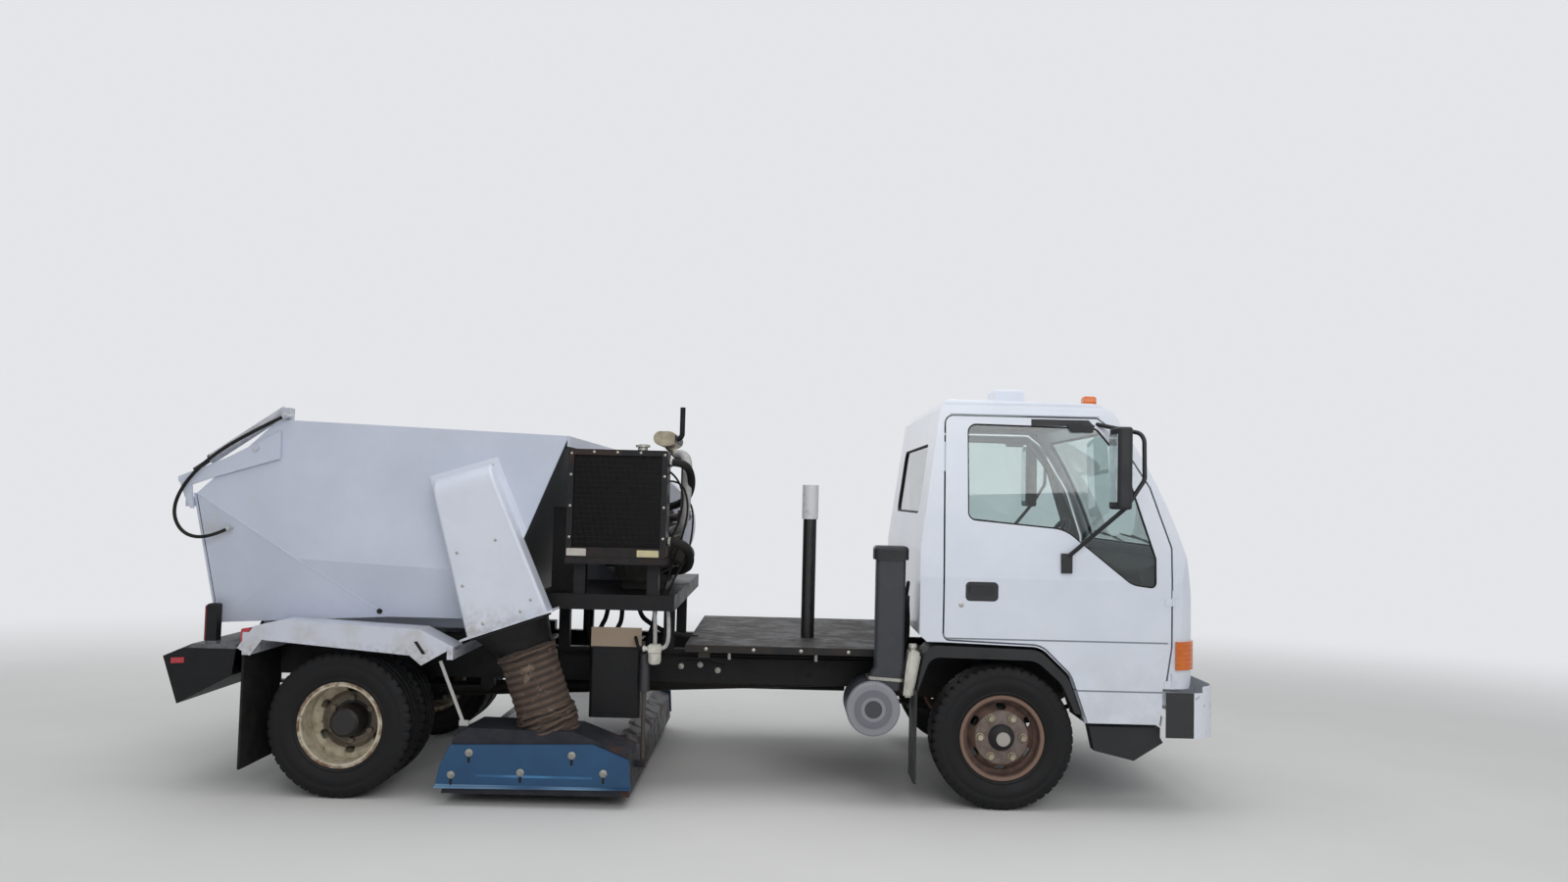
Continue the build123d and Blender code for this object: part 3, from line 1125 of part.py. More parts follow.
def bend_radii(points):
    """Bend radii from the shorter run at each corner and half its turn."""
    radii = []
    for before, here, after in zip(points, points[1:], points[2:]):
        first = Vector(*here) - Vector(*before)
        second = Vector(*after) - Vector(*here)
        half_turn = radians(first.get_angle(second)) / 2
        radii.append(0.45 * min(first.length, second.length) / tan(half_turn))
    return radii


def gate_hose():
    radii = bend_radii(HOSE_LINE)
    print("hose bend radii", [round(r) for r in radii])
    path = FilletPolyline(*HOSE_LINE, radius=radii)
    section = Plane(origin=path @ 0, z_dir=path % 0) * Circle(HOSE_LINE_RADIUS)
    return sweep(section, path)


def hose_fittings():
    """Nuts on the hose's ends, one on a stub from the cylinder and one on a stub from the side sheet."""
    pieces = []
    for end, neighbour, root_y in ((HOSE_LINE[0], HOSE_LINE[1], -975), (HOSE_LINE[-1], HOSE_LINE[-2], -930)):
        away = (Vector(*end) - Vector(*neighbour)).normalized()
        nut = bar(end, tuple(Vector(*end) + away * 18), 14)
        root = Vector(*end) + away * 14
        stub = bar(tuple(root), (root.X, root_y, root.Z), 10)
        pieces.append(nut + stub)
    return pieces


# Sweeping gear

ENGINE_BED_Z = 1045.0
RISER_Y = -225.0
RISER_FOOT_Z = 1480.0
MUFFLER_CENTRE = (-234.0, 1883.0)
STACK_X = -145.0
DARK_PANEL_X = (-788.0, -660.0)


def engine_frame():
    """Upright frame that carries the auxiliary engine across the rails, with a dark panel beside the engine."""
    body = block((-836, -114), (-880, 880), (965, ENGINE_BED_Z))
    for x in (-760, -180):
        for side in (-1, 1):
            low, high = sorted((side * 380, side * 430))
            body += block((x - 30, x + 30), (low, high), (FRAME_TOP, 965))
    return body + block(DARK_PANEL_X, (-700, -694), (ENGINE_BED_Z, 1490))


RADIATOR_X = (-672.0, -160.0)
RADIATOR_Z = (1235.0, 1793.0)
RADIATOR_Y = (-960.0, -800.0)
RADIATOR_EDGE = 30.0
FAN_CENTRE = (-400.0, 1480.0)
FAN_RADIUS = 205.0
SHROUD_Y = (-800.0, -710.0)


def radiator():
    """Radiator case facing the kerb round its core, on a channel and feet, with the fan's shroud behind."""
    core_x = (RADIATOR_X[0] + RADIATOR_EDGE, RADIATOR_X[1] - RADIATOR_EDGE)
    core_z = (RADIATOR_Z[0] + 55, RADIATOR_Z[1] - RADIATOR_EDGE)
    case = fillet(block(RADIATOR_X, RADIATOR_Y, RADIATOR_Z).edges().filter_by(Axis.Y), 12)
    case -= block(core_x, (RADIATOR_Y[0] - 1, RADIATOR_Y[1] + 1), core_z)
    case += block(RADIATOR_X, (RADIATOR_Y[0] - 8, RADIATOR_Y[1]), (RADIATOR_Z[0] - 30, RADIATOR_Z[0]))
    for x in (-610, -230):
        case += block((x - 30, x + 30), (-870, -810), (ENGINE_BED_Z, RADIATOR_Z[0] - 30))
    core = block(core_x, (RADIATOR_Y[0] + 22, RADIATOR_Y[1] - 10), core_z)
    opening = bar((FAN_CENTRE[0], SHROUD_Y[0] - 1, FAN_CENTRE[1]), (FAN_CENTRE[0], SHROUD_Y[1] + 60, FAN_CENTRE[1]),
                  FAN_RADIUS + 12)
    ring = tube((FAN_CENTRE[0], SHROUD_Y[1], FAN_CENTRE[1]), (FAN_CENTRE[0], SHROUD_Y[1] + 50, FAN_CENTRE[1]),
                FAN_RADIUS + 20, FAN_RADIUS + 12)
    box_x, box_z = (core_x[0] - 15, core_x[1] + 15), (core_z[0] - 35, core_z[1] + 15)
    shroud = block(box_x, SHROUD_Y, box_z)
    shroud -= block((box_x[0] + SHEET, box_x[1] - SHEET), (SHROUD_Y[0] - 1, SHROUD_Y[1] - SHEET),
                    (box_z[0] + SHEET, box_z[1] - SHEET))
    return [case, core, shroud - opening + ring]


# The auxiliary engine stands across the truck with its fan and belt towards the kerb
ENGINE_X = (-480.0, -160.0)
ENGINE_Y = (-520.0, 60.0)
CRANKCASE_TOP = 1400.0
HEAD_TOP = 1500.0
CYLINDER_PITCH = 130.0
FIRST_CYLINDER_Y = -420.0
EXHAUST_LOG = (-130.0, 1440.0)
BELT_Y = (-588.0, -568.0)
BELT_WALL = 8.0
# pulleys: x, z, radius, y of the shaft's root
CRANK_PULLEY = (-330.0, 1180.0, 80.0)
PUMP_PULLEY = (*FAN_CENTRE, 55.0)
ALTERNATOR_PULLEY = (-110.0, 1240.0, 35.0)
FAN_BLADES = 6


def aux_engine():
    """Auxiliary diesel engine: block and head, manifolds, alternator, belt drive and fan."""
    body = engine_block() + exhaust_manifold() + intake_manifold() + alternator()
    for x, z, radius in (CRANK_PULLEY, PUMP_PULLEY, ALTERNATOR_PULLEY):
        body += bar((x, BELT_Y[1], z), (x, BELT_Y[0], z), radius)
        body += bar((x, BELT_Y[1], z), (x, ENGINE_Y[0], z), 0.35 * radius)
        body -= bar((x, BELT_Y[0] - 1, z), (x, BELT_Y[0] + 6, z), 0.7 * radius)
    return [body + engine_fan(), drive_belt()]


def engine_block():
    """Crankcase with sump, timing cover and core plugs; head and rocker cover on it."""
    lower = block(ENGINE_X, ENGINE_Y, (1090, CRANKCASE_TOP))
    lower = fillet(lower.edges().filter_by(Axis.Y).group_by(Axis.Z)[0], 40)
    sump = block((ENGINE_X[0] + 40, ENGINE_X[1] - 40), (ENGINE_Y[0] + 30, ENGINE_Y[1] - 60), (ENGINE_BED_Z, 1090))
    timing = block((ENGINE_X[0] + 20, ENGINE_X[1] - 90), (ENGINE_Y[0] - 26, ENGINE_Y[0]), (1120, HEAD_TOP + 30))
    timing = fillet(timing.edges().filter_by(Axis.Y), 40)
    head = block((ENGINE_X[0] + 60, ENGINE_X[1] - 60), (ENGINE_Y[0] + 20, ENGINE_Y[1] - 20), (CRANKCASE_TOP, HEAD_TOP))
    cover = block((ENGINE_X[0] + 90, ENGINE_X[1] - 90), (ENGINE_Y[0] + 30, ENGINE_Y[1] - 30), (HEAD_TOP, HEAD_TOP + 60))
    cover = fillet(cover.edges().group_by(Axis.Z)[-1], 20)
    filler = bar((-320, -60, HEAD_TOP + 60), (-320, -60, HEAD_TOP + 84), 24)
    flywheel = bar((-320, ENGINE_Y[1], 1250), (-320, 120, 1250), 165)
    oil_filter = bar((ENGINE_X[0], -250, 1190), (ENGINE_X[0] - 90, -250, 1190), 38)
    body = lower + sump + timing + head + cover + filler + flywheel + oil_filter
    for y in (FIRST_CYLINDER_Y + step * CYLINDER_PITCH for step in range(4)):
        body += bar((ENGINE_X[1], y, 1310), (ENGINE_X[1] + 8, y, 1310), 24)
    return body


def exhaust_manifold():
    """Log along the head with a stub to each cylinder and the flange that the muffler's pipe stands on."""
    x, z = EXHAUST_LOG
    last_y = FIRST_CYLINDER_Y + 3 * CYLINDER_PITCH
    log = bar((x, FIRST_CYLINDER_Y - 30, z), (x, last_y + 30, z), 26)
    for y in (FIRST_CYLINDER_Y + step * CYLINDER_PITCH for step in range(4)):
        log += bar((ENGINE_X[1] - 70, y, z), (x, y, z), 19)
        log += block((ENGINE_X[1] - 60, ENGINE_X[1] - 50), (y - 38, y + 38), (z - 32, z + 32))
    return log + block((x - 34, x + 34), (RISER_Y - 34, RISER_Y + 34), (z, RISER_FOOT_Z))


def intake_manifold():
    """Plenum with a runner to each cylinder and the round air cleaner above it."""
    x = (ENGINE_X[0] - 120, ENGINE_X[0] - 60)
    y_range = (FIRST_CYLINDER_Y - 40, FIRST_CYLINDER_Y + 3 * CYLINDER_PITCH + 30)
    plenum = block(x, y_range, (1430, 1495))
    plenum = fillet(plenum.edges().filter_by(Axis.Y), 16)
    for y in (FIRST_CYLINDER_Y + step * CYLINDER_PITCH for step in range(4)):
        plenum += bar((x[1] - 5, y, 1460), (ENGINE_X[0] + 65, y, 1460), 18)
    middle = (x[0] + x[1]) / 2
    neck = bar((middle, -150, 1490), (middle, -150, 1580), 26)
    cleaner = bar((middle, -320, 1640), (middle, 20, 1640), 78)
    return plenum + neck + fillet(cleaner.edges().filter_by(GeomType.CIRCLE), 10)


def alternator():
    """Alternator beside the crankcase on its bracket."""
    x, z = ALTERNATOR_PULLEY[:2]
    case = bar((x, ENGINE_Y[0] - 30, z), (x, ENGINE_Y[0] + 90, z), 62)
    case = fillet(case.edges().filter_by(GeomType.CIRCLE), 10)
    return case + block((ENGINE_X[1], x), (ENGINE_Y[0] + 10, ENGINE_Y[0] + 60), (z - 60, z - 20))


def drive_belt():
    """V-belt drawn tight round the three pulleys."""
    pulleys = (CRANK_PULLEY, PUMP_PULLEY, ALTERNATOR_PULLEY)
    inside = make_hull(sum((Pos(x, z) * Circle(radius) for x, z, radius in pulleys), Sketch()).edges())
    outside = make_hull(sum((Pos(x, z) * Circle(radius + BELT_WALL) for x, z, radius in pulleys), Sketch()).edges())
    return side_prism(outside - inside, BELT_Y[0] + 3, BELT_Y[1] - 3)


def engine_fan():
    """Cooling fan on the pump's shaft, its pitched blades turning inside the shroud."""
    x, z = FAN_CENTRE
    fan_y = SHROUD_Y[1] + 25
    fan = bar((x, BELT_Y[0] + 6, z), (x, fan_y - 20, z), 20) + bar((x, fan_y - 20, z), (x, fan_y + 20, z), 50)
    length = FAN_RADIUS - 45
    for index in range(FAN_BLADES):
        blade = Pos(0, 0, 45 + length / 2) * Rot(0, 0, 32) * Box(64, 5, length)
        fan += Pos(x, fan_y, z) * Rot(0, index * 360 / FAN_BLADES, 0) * blade
    return fan


def muffler():
    """Oval muffler above the engine on its riser, with a thin upright stack."""
    x, z = MUFFLER_CENTRE
    case = side_prism(Pos(x, z) * SlotOverall(128, 80), -420, 40)
    riser = bent_bar([(EXHAUST_LOG[0], RISER_Y, RISER_FOOT_Z), (EXHAUST_LOG[0], RISER_Y, 1740), (x, RISER_Y, z - 30)],
                     24, 50)
    stack = bent_bar([(x + 30, -330, z), (STACK_X, -330, z), (STACK_X, -330, 2065)], 15, 34)
    return case + riser + stack


def fan_housing():
    """Fan housing behind the engine with its inlet towards the hopper."""
    body = bar((-430, 120, 1380), (-430, 420, 1380), 320)
    body += block((-760, -430), (160, 400), (1045, 1300))
    return body


HOSE_TOP = Vector(-864, HOSE_Y, 762)
HOSE_FOOT = Vector(-723, HOSE_Y, 366)
HOSE_AXIS = (HOSE_FOOT - HOSE_TOP).normalized()
CONE_LENGTH = 144.0 - FOOT_SEAL_GAP
CONE_MOUTH_X = 380.0
CONE_LIP = 12.0
CONE_WALL = 6.0


def suction_cone():
    """Black cone under the duct's foot: oblong with a lip on top, round where the hose is clamped."""
    depth = DUCT_DEPTH - SHEET
    mouth_y = -HOPPER_HALF_WIDTH - DUCT_DEPTH / 2 - HOSE_Y
    top = HOSE_TOP - HOSE_AXIS * CONE_LENGTH + Vector(0, mouth_y, 0)
    mouth_plane = Plane(origin=top, x_dir=(0, 1, 0), z_dir=HOSE_AXIS)

    def shell(inset):
        mouth = mouth_plane * RectangleRounded(depth - 2 * inset, CONE_MOUTH_X - 2 * inset, 40)
        collar = Plane(origin=HOSE_TOP, x_dir=(0, 1, 0), z_dir=HOSE_AXIS) * Circle(HOSE_RADIUS - 4 - inset)
        return loft([mouth, collar])

    lip = mouth_plane * (extrude(RectangleRounded(depth + 2 * CONE_LIP, CONE_MOUTH_X + 2 * CONE_LIP, 46), 8)
                         - extrude(RectangleRounded(depth - 2, CONE_MOUTH_X - 2, 38), 8))
    carrier = block((-930, -880), (HOSE_Y + 60, -FRAME_HALF_WIDTH), (790, 815))
    carrier += block((-930, -880), (-FRAME_HALF_WIDTH - 20, -FRAME_HALF_WIDTH), (600, 790))
    return shell(0) + lip + carrier - shell(CONE_WALL)


def suction_hose():
    """Corrugated hose from the cone down to the pickup head."""
    length = (HOSE_FOOT - HOSE_TOP).length + 60
    count = 13
    pitch = length / count
    profile = [(HOSE_RADIUS - 12, 0)]
    for ring in range(count):
        z = ring * pitch
        profile += [(HOSE_RADIUS - 4, z), (HOSE_RADIUS, z + pitch * 0.35), (HOSE_RADIUS - 4, z + pitch * 0.7)]
    profile += [(HOSE_RADIUS - 4, length), (HOSE_RADIUS - 12, length)]
    hose = Plane(origin=HOSE_TOP, z_dir=HOSE_AXIS) * revolve(Plane.XZ * outline(profile), Axis.Z)
    return hose - side_prism(outline(HEAD_TURRET), -HEAD_HALF_WIDTH, -500)


# side views of the head (x, z): the low hood across the truck and the higher turret under the hose
HEAD_HOOD = [(-1230, 60), (-1196, 236), (-1130, 256), (-400, 256), (-306, 216), (-294, 60)]
HEAD_TURRET = [(-1218, 120), (-1178, 340), (-1100, 384), (-579, 374), (-300, 270), (-298, 120)]


def shrunk(points, wall, foot_z):
    """A side view moved in by a wall thickness and run on below, so that the shell is open there."""
    inner = offset(outline(points), amount=-wall, kind=Kind.INTERSECTION)
    left, right = points[0][0] + wall + 2, points[-1][0] - wall - 2
    return inner + outline([(left, foot_z), (left, points[0][1] + 40), (right, points[0][1] + 40), (right, foot_z)])


LIFT_X = -265.0
LIFT_Y = -800.0
LIFT_ROD_TOP = 620.0
LIFT_BARREL_Z = (540.0, 734.0)
STRUT_Y = -HEAD_HALF_WIDTH + 36
STRUT_FOOT = (-1139, STRUT_Y, 400)
STRUT_TOP = (-1266, STRUT_Y, 705)


def pickup_head():
    """Pickup head across the truck, hollow and open to the ground, with a turret, a strut and the lift rod."""
    half = HEAD_HALF_WIDTH
    body = side_prism(outline(HEAD_HOOD), -half, half) + side_prism(outline(HEAD_TURRET), -half, TURRET_INNER_Y)
    body -= side_prism(shrunk(HEAD_HOOD, SHEET, 40), SHEET - half, half - SHEET)
    body -= side_prism(shrunk(HEAD_TURRET, SHEET, 100), SHEET - half, TURRET_INNER_Y - SHEET)
    body -= bar(tuple(HOSE_TOP), tuple(HOSE_FOOT + HOSE_AXIS * 60), HOSE_RADIUS - 12)
    body += bar(STRUT_FOOT, STRUT_TOP, 9)
    body += block((STRUT_FOOT[0] - 20, STRUT_FOOT[0] + 26), (STRUT_Y - 8, STRUT_Y + 8), (356, STRUT_FOOT[2] + 14))
    body += block((LIFT_X - 60, LIFT_X + 18), (LIFT_Y - 15, LIFT_Y + 15), (150, 185))
    return body + bar((LIFT_X, LIFT_Y, 160), (LIFT_X, LIFT_Y, LIFT_ROD_TOP), LIFT_ROD_RADIUS - 2)


def lift_barrel():
    """The head's lift cylinder on the chassis, bored for its rod, hung from the rail."""
    barrel = bar((LIFT_X, LIFT_Y, LIFT_BARREL_Z[0]), (LIFT_X, LIFT_Y, LIFT_BARREL_Z[1]), 26)
    arm = block((LIFT_X - 20, LIFT_X + 20), (LIFT_Y, -FRAME_HALF_WIDTH), (690, FRAME_TOP))
    bore = bar((LIFT_X, LIFT_Y, LIFT_BARREL_Z[0] - 1), (LIFT_X, LIFT_Y, LIFT_BARREL_Z[1] - 30), LIFT_ROD_RADIUS)
    return barrel + arm - bore


def head_plates():
    """Blue end plates with their bolts."""
    face = outline([(-1262, 87), (-1240, 196), (-1189, 301), (-480, 318), (-296, 244), (-287, 96)])
    right = side_prism(face, -HEAD_HALF_WIDTH - 10, -HEAD_HALF_WIDTH)
    for x, z in ((-1178, 276), (-750, 287), (-1241 + 20, 201), (-980, 212), (-655, 215)):
        right += bar((x, -HEAD_HALF_WIDTH - 10, z), (x, -HEAD_HALF_WIDTH - 24, z), 14)
    return both_sides(right)


def save(name, shape):
    """Write one named piece."""
    if isinstance(shape, (list, tuple, ShapeList)):
        shape = Compound(children=[Compound(s.solids()) if len(s.solids()) != 1 else s.solid() for s in shape])
    export_step(shape, f"parts/{name}.step")


def opposite(shape):
    """The left side's copy of a right-side piece."""
    if isinstance(shape, (list, tuple)):
        return [mirror(piece, Plane.XZ) for piece in shape]
    return mirror(shape, Plane.XZ)


PAIRS = [
    # node name, right-side piece
    ("front_tyre", front_tyre), ("front_wheel", front_wheel), ("rear_tyres", rear_tyres),
    ("rear_wheels", rear_wheels), ("knuckle", knuckle), ("mirror", mirror_set),
    ("door_glass", door_glass), ("door", door),
]
SINGLES = [
    ("frame", frame), ("drivetrain", drivetrain), ("deck", deck),
    ("subframe", subframe), ("tanks", tanks),
    ("front_bumper", front_bumper), ("front_arches", front_arch),
    ("air_filter", air_filter), ("water_bottle", water_bottle), ("tool_post", tool_post),
    ("rear_fenders", rear_fender), ("mud_flaps", mud_flap),
    ("rear_bumper", rear_bumper), ("tail_lamps", tail_lamps), ("dump_cylinder", dump_cylinder),
    ("front_axle", front_axle), ("rear_axle", rear_axle),
    ("cab_roof", cab_roof), ("cab_rear", cab_rear), ("cab_front", cab_front), ("cab_floor", cab_floor),
    ("cab_glass", cab_glass),
    ("seats", seats), ("dashboard", dashboard), ("grille", grille), ("headlamps", headlamps),
    ("marker_lamps", marker_lamps),
    ("hopper_roof", hopper_roof), ("hopper_front", hopper_front), ("hopper_floor", hopper_floor),
    ("side_duct", side_duct), ("tailgate", tailgate),
    ("gate_cylinders", gate_cylinders), ("gate_hose", gate_hose),
    ("radiator", radiator),
    ("aux_engine", aux_engine), ("muffler", muffler), ("fan_housing", fan_housing),
    ("suction_cone", suction_cone), ("suction_hose", suction_hose), ("pickup_head", pickup_head),
    ("head_plates", head_plates),
]

os.makedirs("parts", exist_ok=True)
for name, make in SINGLES:
    save(name, make())
for name, make in PAIRS:
    piece = make()
    save(f"{name}_right", piece)
    save(f"{name}_left", opposite(piece))
save("hopper_side_right", hopper_side(True))
save("hopper_side_left", hopper_side(False))
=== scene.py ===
import math

import bmesh
import bpy
from mathutils import Matrix, Vector


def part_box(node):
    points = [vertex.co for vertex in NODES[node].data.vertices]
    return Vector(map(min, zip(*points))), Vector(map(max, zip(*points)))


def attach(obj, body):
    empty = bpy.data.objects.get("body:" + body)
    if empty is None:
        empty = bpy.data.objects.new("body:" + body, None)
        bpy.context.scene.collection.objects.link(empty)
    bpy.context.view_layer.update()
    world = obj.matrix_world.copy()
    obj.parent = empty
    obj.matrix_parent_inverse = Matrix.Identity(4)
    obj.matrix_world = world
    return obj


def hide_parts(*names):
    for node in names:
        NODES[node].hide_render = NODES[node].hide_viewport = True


# Looks of a vacuum street sweeper on a low-cab-forward truck, in metres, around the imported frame.

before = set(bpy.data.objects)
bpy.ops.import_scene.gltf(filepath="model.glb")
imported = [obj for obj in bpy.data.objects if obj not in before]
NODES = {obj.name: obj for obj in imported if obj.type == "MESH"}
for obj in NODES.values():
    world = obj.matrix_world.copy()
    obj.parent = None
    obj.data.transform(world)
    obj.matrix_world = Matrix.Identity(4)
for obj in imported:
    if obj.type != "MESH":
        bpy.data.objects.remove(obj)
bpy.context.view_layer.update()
scene = bpy.context.scene
SIDES = (("right", -1), ("left", 1))


# Camera at the photograph's place: beside the truck's middle, at eye height, tipped and rolled a little.
CAMERA_PLACE = Vector((0.4335, -7.0, 1.567))
CAMERA_PITCH = math.radians(2.76)
CAMERA_ROLL = math.radians(1.4)
LENS_MM = 27.0
SENSOR_MM = 36.0


def set_camera():
    """The photograph's camera, aimed level across the truck before its pitch and roll."""
    camera = bpy.data.objects.new("camera", bpy.data.cameras.new("camera"))
    camera.data.lens = LENS_MM
    camera.data.sensor_width = SENSOR_MM
    camera.data.clip_end = 200.0
    turn = Matrix.Rotation(math.pi / 2 + CAMERA_PITCH, 4, "X") @ Matrix.Rotation(CAMERA_ROLL, 4, "Z")
    camera.matrix_world = Matrix.Translation(CAMERA_PLACE) @ turn
    scene.collection.objects.link(camera)
    scene.camera = camera


set_camera()


# Materials

def linear(hex_colour, alpha=1.0):
    """An sRGB hex colour as linear values."""
    parts = [int(hex_colour[i:i + 2], 16) / 255 for i in (0, 2, 4)]
    return [p / 12.92 if p <= 0.04045 else ((p + 0.055) / 1.055) ** 2.4 for p in parts] + [alpha]


def add(material, kind, settings=None, links=None):
    """Adds a node with its settings and links and gives it back; a link may also be a plain value."""
    tree = material.node_tree
    node = tree.nodes.new("ShaderNode" + kind)
    for key, value in (settings or {}).items():
        if isinstance(key, int) or key in node.inputs:
            node.inputs[key].default_value = value
        else:
            setattr(node, key, value)
    for key, output in (links or {}).items():
        if isinstance(output, bpy.types.NodeSocket):
            tree.links.new(output, node.inputs[key])
        else:
            node.inputs[key].default_value = output
    return node


def surface(name, **sockets):
    """A new material with its shader; the sockets are set on the shader itself."""
    material = bpy.data.materials.new(name)
    material.use_nodes = True
    material.node_tree.nodes.clear()
    shader = add(material, "BsdfPrincipled", {key.replace("_", " "): value for key, value in sockets.items()})
    add(material, "OutputMaterial", None, {"Surface": shader.outputs[0]})
    return material, shader


def place(material, stretch=(1, 1, 1)):
    """Positions on the piece in metres, pulled out along an axis where a pattern runs one way."""
    coordinates = add(material, "TexCoord")
    return add(material, "Mapping", {"Scale": stretch}, {"Vector": coordinates.outputs["Object"]}).outputs[0]


def patches(material, size, low, high, detail=5.0, stretch=(1, 1, 1)):
    """A soft-edged mask of patches about one size across, from noise."""
    noise = add(material, "TexNoise", {"Scale": 1 / size, "Detail": detail, "Roughness": 0.62},
                {"Vector": place(material, stretch)})
    stretched = add(material, "MapRange", {"From Min": low, "From Max": high}, {"Value": noise.outputs[0]})
    return stretched.outputs[0]


def height_band(material, top, foot):
    """A mask that grows from 0 at one height to 1 at another, in metres above the ground."""
    split = add(material, "SeparateXYZ", None, {0: place(material)})
    grown = add(material, "MapRange", {"From Min": top, "From Max": foot}, {"Value": split.outputs[2]})
    return grown.outputs[0]


def times(material, first, second):
    """A mask where both masks show, or one mask thinned by a number."""
    return add(material, "Math", {"operation": "MULTIPLY"}, {0: first, 1: second}).outputs[0]


def either(material, first, second):
    """A mask where either of two masks shows."""
    return add(material, "Math", {"operation": "MAXIMUM"}, {0: first, 1: second}).outputs[0]


def inside(material, **ranges):
    """A mask of 1 within ranges of the piece's own x, y and z, in metres, and 0 outside them."""
    split = add(material, "SeparateXYZ", None, {0: place(material)})
    mask = None
    for axis, (low, high) in ranges.items():
        settings = {"operation": "COMPARE", 1: (low + high) / 2, 2: (high - low) / 2}
        step = add(material, "Math", settings, {0: split.outputs["xyz".index(axis)]}).outputs[0]
        mask = step if mask is None else times(material, mask, step)
    return mask


def round_hub(material, centre, low, high):
    """A mask of a ring between two radii round a point (x, z) of the side view, in metres."""
    spot = add(material, "VectorMath", {"operation": "DISTANCE", 1: (centre[0], 0, centre[1])},
               {0: place(material, (1, 0, 1))})
    return add(material, "Math", {"operation": "COMPARE", 1: (low + high) / 2, 2: (high - low) / 2},
               {0: spot.outputs["Value"]}).outputs[0]


def mixed(material, factor, first, second):
    """Two colours, each a hex value or a socket, mixed by a mask."""
    first, second = (linear(colour) if isinstance(colour, str) else colour for colour in (first, second))
    return add(material, "Mix", {"data_type": "RGBA"}, {0: factor, 6: first, 7: second}).outputs[2]


# At scale 1 Blender's straight bands repeat after this many units, and its diagonal ones along an axis after
# twice as many.
BAND_REPEAT = 2 * math.pi / 20


def ribbing(material, direction, pitch, stretch=(1, 1, 1)):
    """Parallel ribs as a height from 0 to 1, a pitch in metres apart along an axis."""
    repeat = BAND_REPEAT * (2 if direction == "DIAGONAL" else 1)
    waves = add(material, "TexWave", {"bands_direction": direction, "Scale": repeat / pitch},
                {"Vector": place(material, stretch)})
    return waves.outputs[1]


def relief(material, shader, height, depth):
    """Bump of a real depth in metres from a 0 to 1 height."""
    bump = add(material, "Bump", {"Strength": 1.0, "Distance": depth}, {"Height": height})
    material.node_tree.links.new(bump.outputs[0], shader.inputs["Normal"])


def colour_by(material, shader, colour):
    """Colour from a socket."""
    material.node_tree.links.new(colour, shader.inputs["Base Color"])


def roughness_by(material, shader, mask, low, high):
    """Roughness that goes from one value to another with a mask."""
    spread = add(material, "MapRange", {"To Min": low, "To Max": high}, {"Value": mask})
    material.node_tree.links.new(spread.outputs[0], shader.inputs["Roughness"])


# Cab walls: upright up to a height, then leaning in by a share of the height above it
CAB_BELT_Z = 1.18
CAB_LEAN = 0.0843
REAR_FOLD_Z = 1.32
REAR_LEAN = 0.131
SCREEN_FOOT_Z = 1.301
SCREEN_LEAN = 0.48
LINING_HALF_WIDTH = 0.918
LINING_X = (1.175, 2.465)
LINING_Z = (0.93, 2.07)


def upright(material, value, height, fold_z, lean):
    """A place across or along the cab with the wall's lean above its fold taken out."""
    above = add(material, "Math", {"operation": "SUBTRACT", 1: fold_z}, {0: height}).outputs[0]
    return add(material, "Math", {"operation": "MULTIPLY_ADD", 1: lean},
               {0: either(material, above, 0.0), 2: value}).outputs[0]


def cab_lining_mask(material):
    """A mask of the cab's inner faces, trimmed in grey, found by their place inside the outer skin."""
    x, y, z = add(material, "SeparateXYZ", None, {0: place(material)}).outputs
    half_width = add(material, "Math", {"operation": "ABSOLUTE"}, {0: y}).outputs[0]
    mask = inside(material, z=LINING_Z)
    for value, operation, limit in (
            (upright(material, half_width, z, CAB_BELT_Z, CAB_LEAN), "LESS_THAN", LINING_HALF_WIDTH),
            (upright(material, x, z, REAR_FOLD_Z, -REAR_LEAN), "GREATER_THAN", LINING_X[0]),
            (upright(material, x, z, SCREEN_FOOT_Z, SCREEN_LEAN), "LESS_THAN", LINING_X[1])):
        within = add(material, "Math", {"operation": operation, 1: limit}, {0: value}).outputs[0]
        mask = times(material, mask, within)
    return mask


# Places of paint, wear, dirt and painted shade on the pieces, as ranges in metres
# door crease lines on the cab, darkened as painted shade
DOOR_CREASE_SHADE_Z = ((0.866, 0.8745), (0.616, 0.6245))
DOOR_CREASE_SHADE_X = (1.285, 2.42)
# door handle pockets on both doors, darkened to near black as painted shade
POCKET_DEPTHS_Y = ((-0.9493, -0.93), (0.93, 0.9493))
HANDLE_POCKET = {"x": (1.374, 1.558), "z": (1.054, 1.169)}
BUMPER_ENDS = {"x": (2.3, 2.552)}
STEP_TREAD = {"z": (0.735, 0.772)}
SCORCHED_TANK = {"x": (-0.70, -0.40)}
SCORCHED_CHANNEL = {"z": (1.215, 1.30)}
GUARD_STRIP = {"x": (-0.60, -0.28), "z": (0.762, 0.90)}
HEAD_NOSE = {"x": (-0.42, -0.2)}
HEAD_STRUT = {"x": (-1.32, -1.10), "z": (0.388, 0.8)}
LIFT_ROD = {"x": (-0.292, -0.20), "z": (0.192, 0.8)}
LIFT_BARREL = {"x": (-0.33, -0.2)}
TAILGATE_RODS = {"x": (-2.70, -2.508)}
FILTER_MIDDLE = (0.922, 0.5)
FILTER_FACE = {"y": (-0.96, -0.90), "z": (0.35, 0.645)}
SNORKEL_CAP = {"z": (1.262, 1.34)}
POST_SLEEVE = {"z": (1.4495, 1.70)}
PLATE_FOOT = {"z": (0.085, 0.107)}
PLATE_SCRAPE = {"x": (-1.06, -0.48), "z": (0.146, 0.158)}
MUFFLER_OUTLET = {"x": (-0.178, 0.1), "z": (1.60, 2.4)}
FRONT_PAD = {"x": (-0.32, 0.0)}


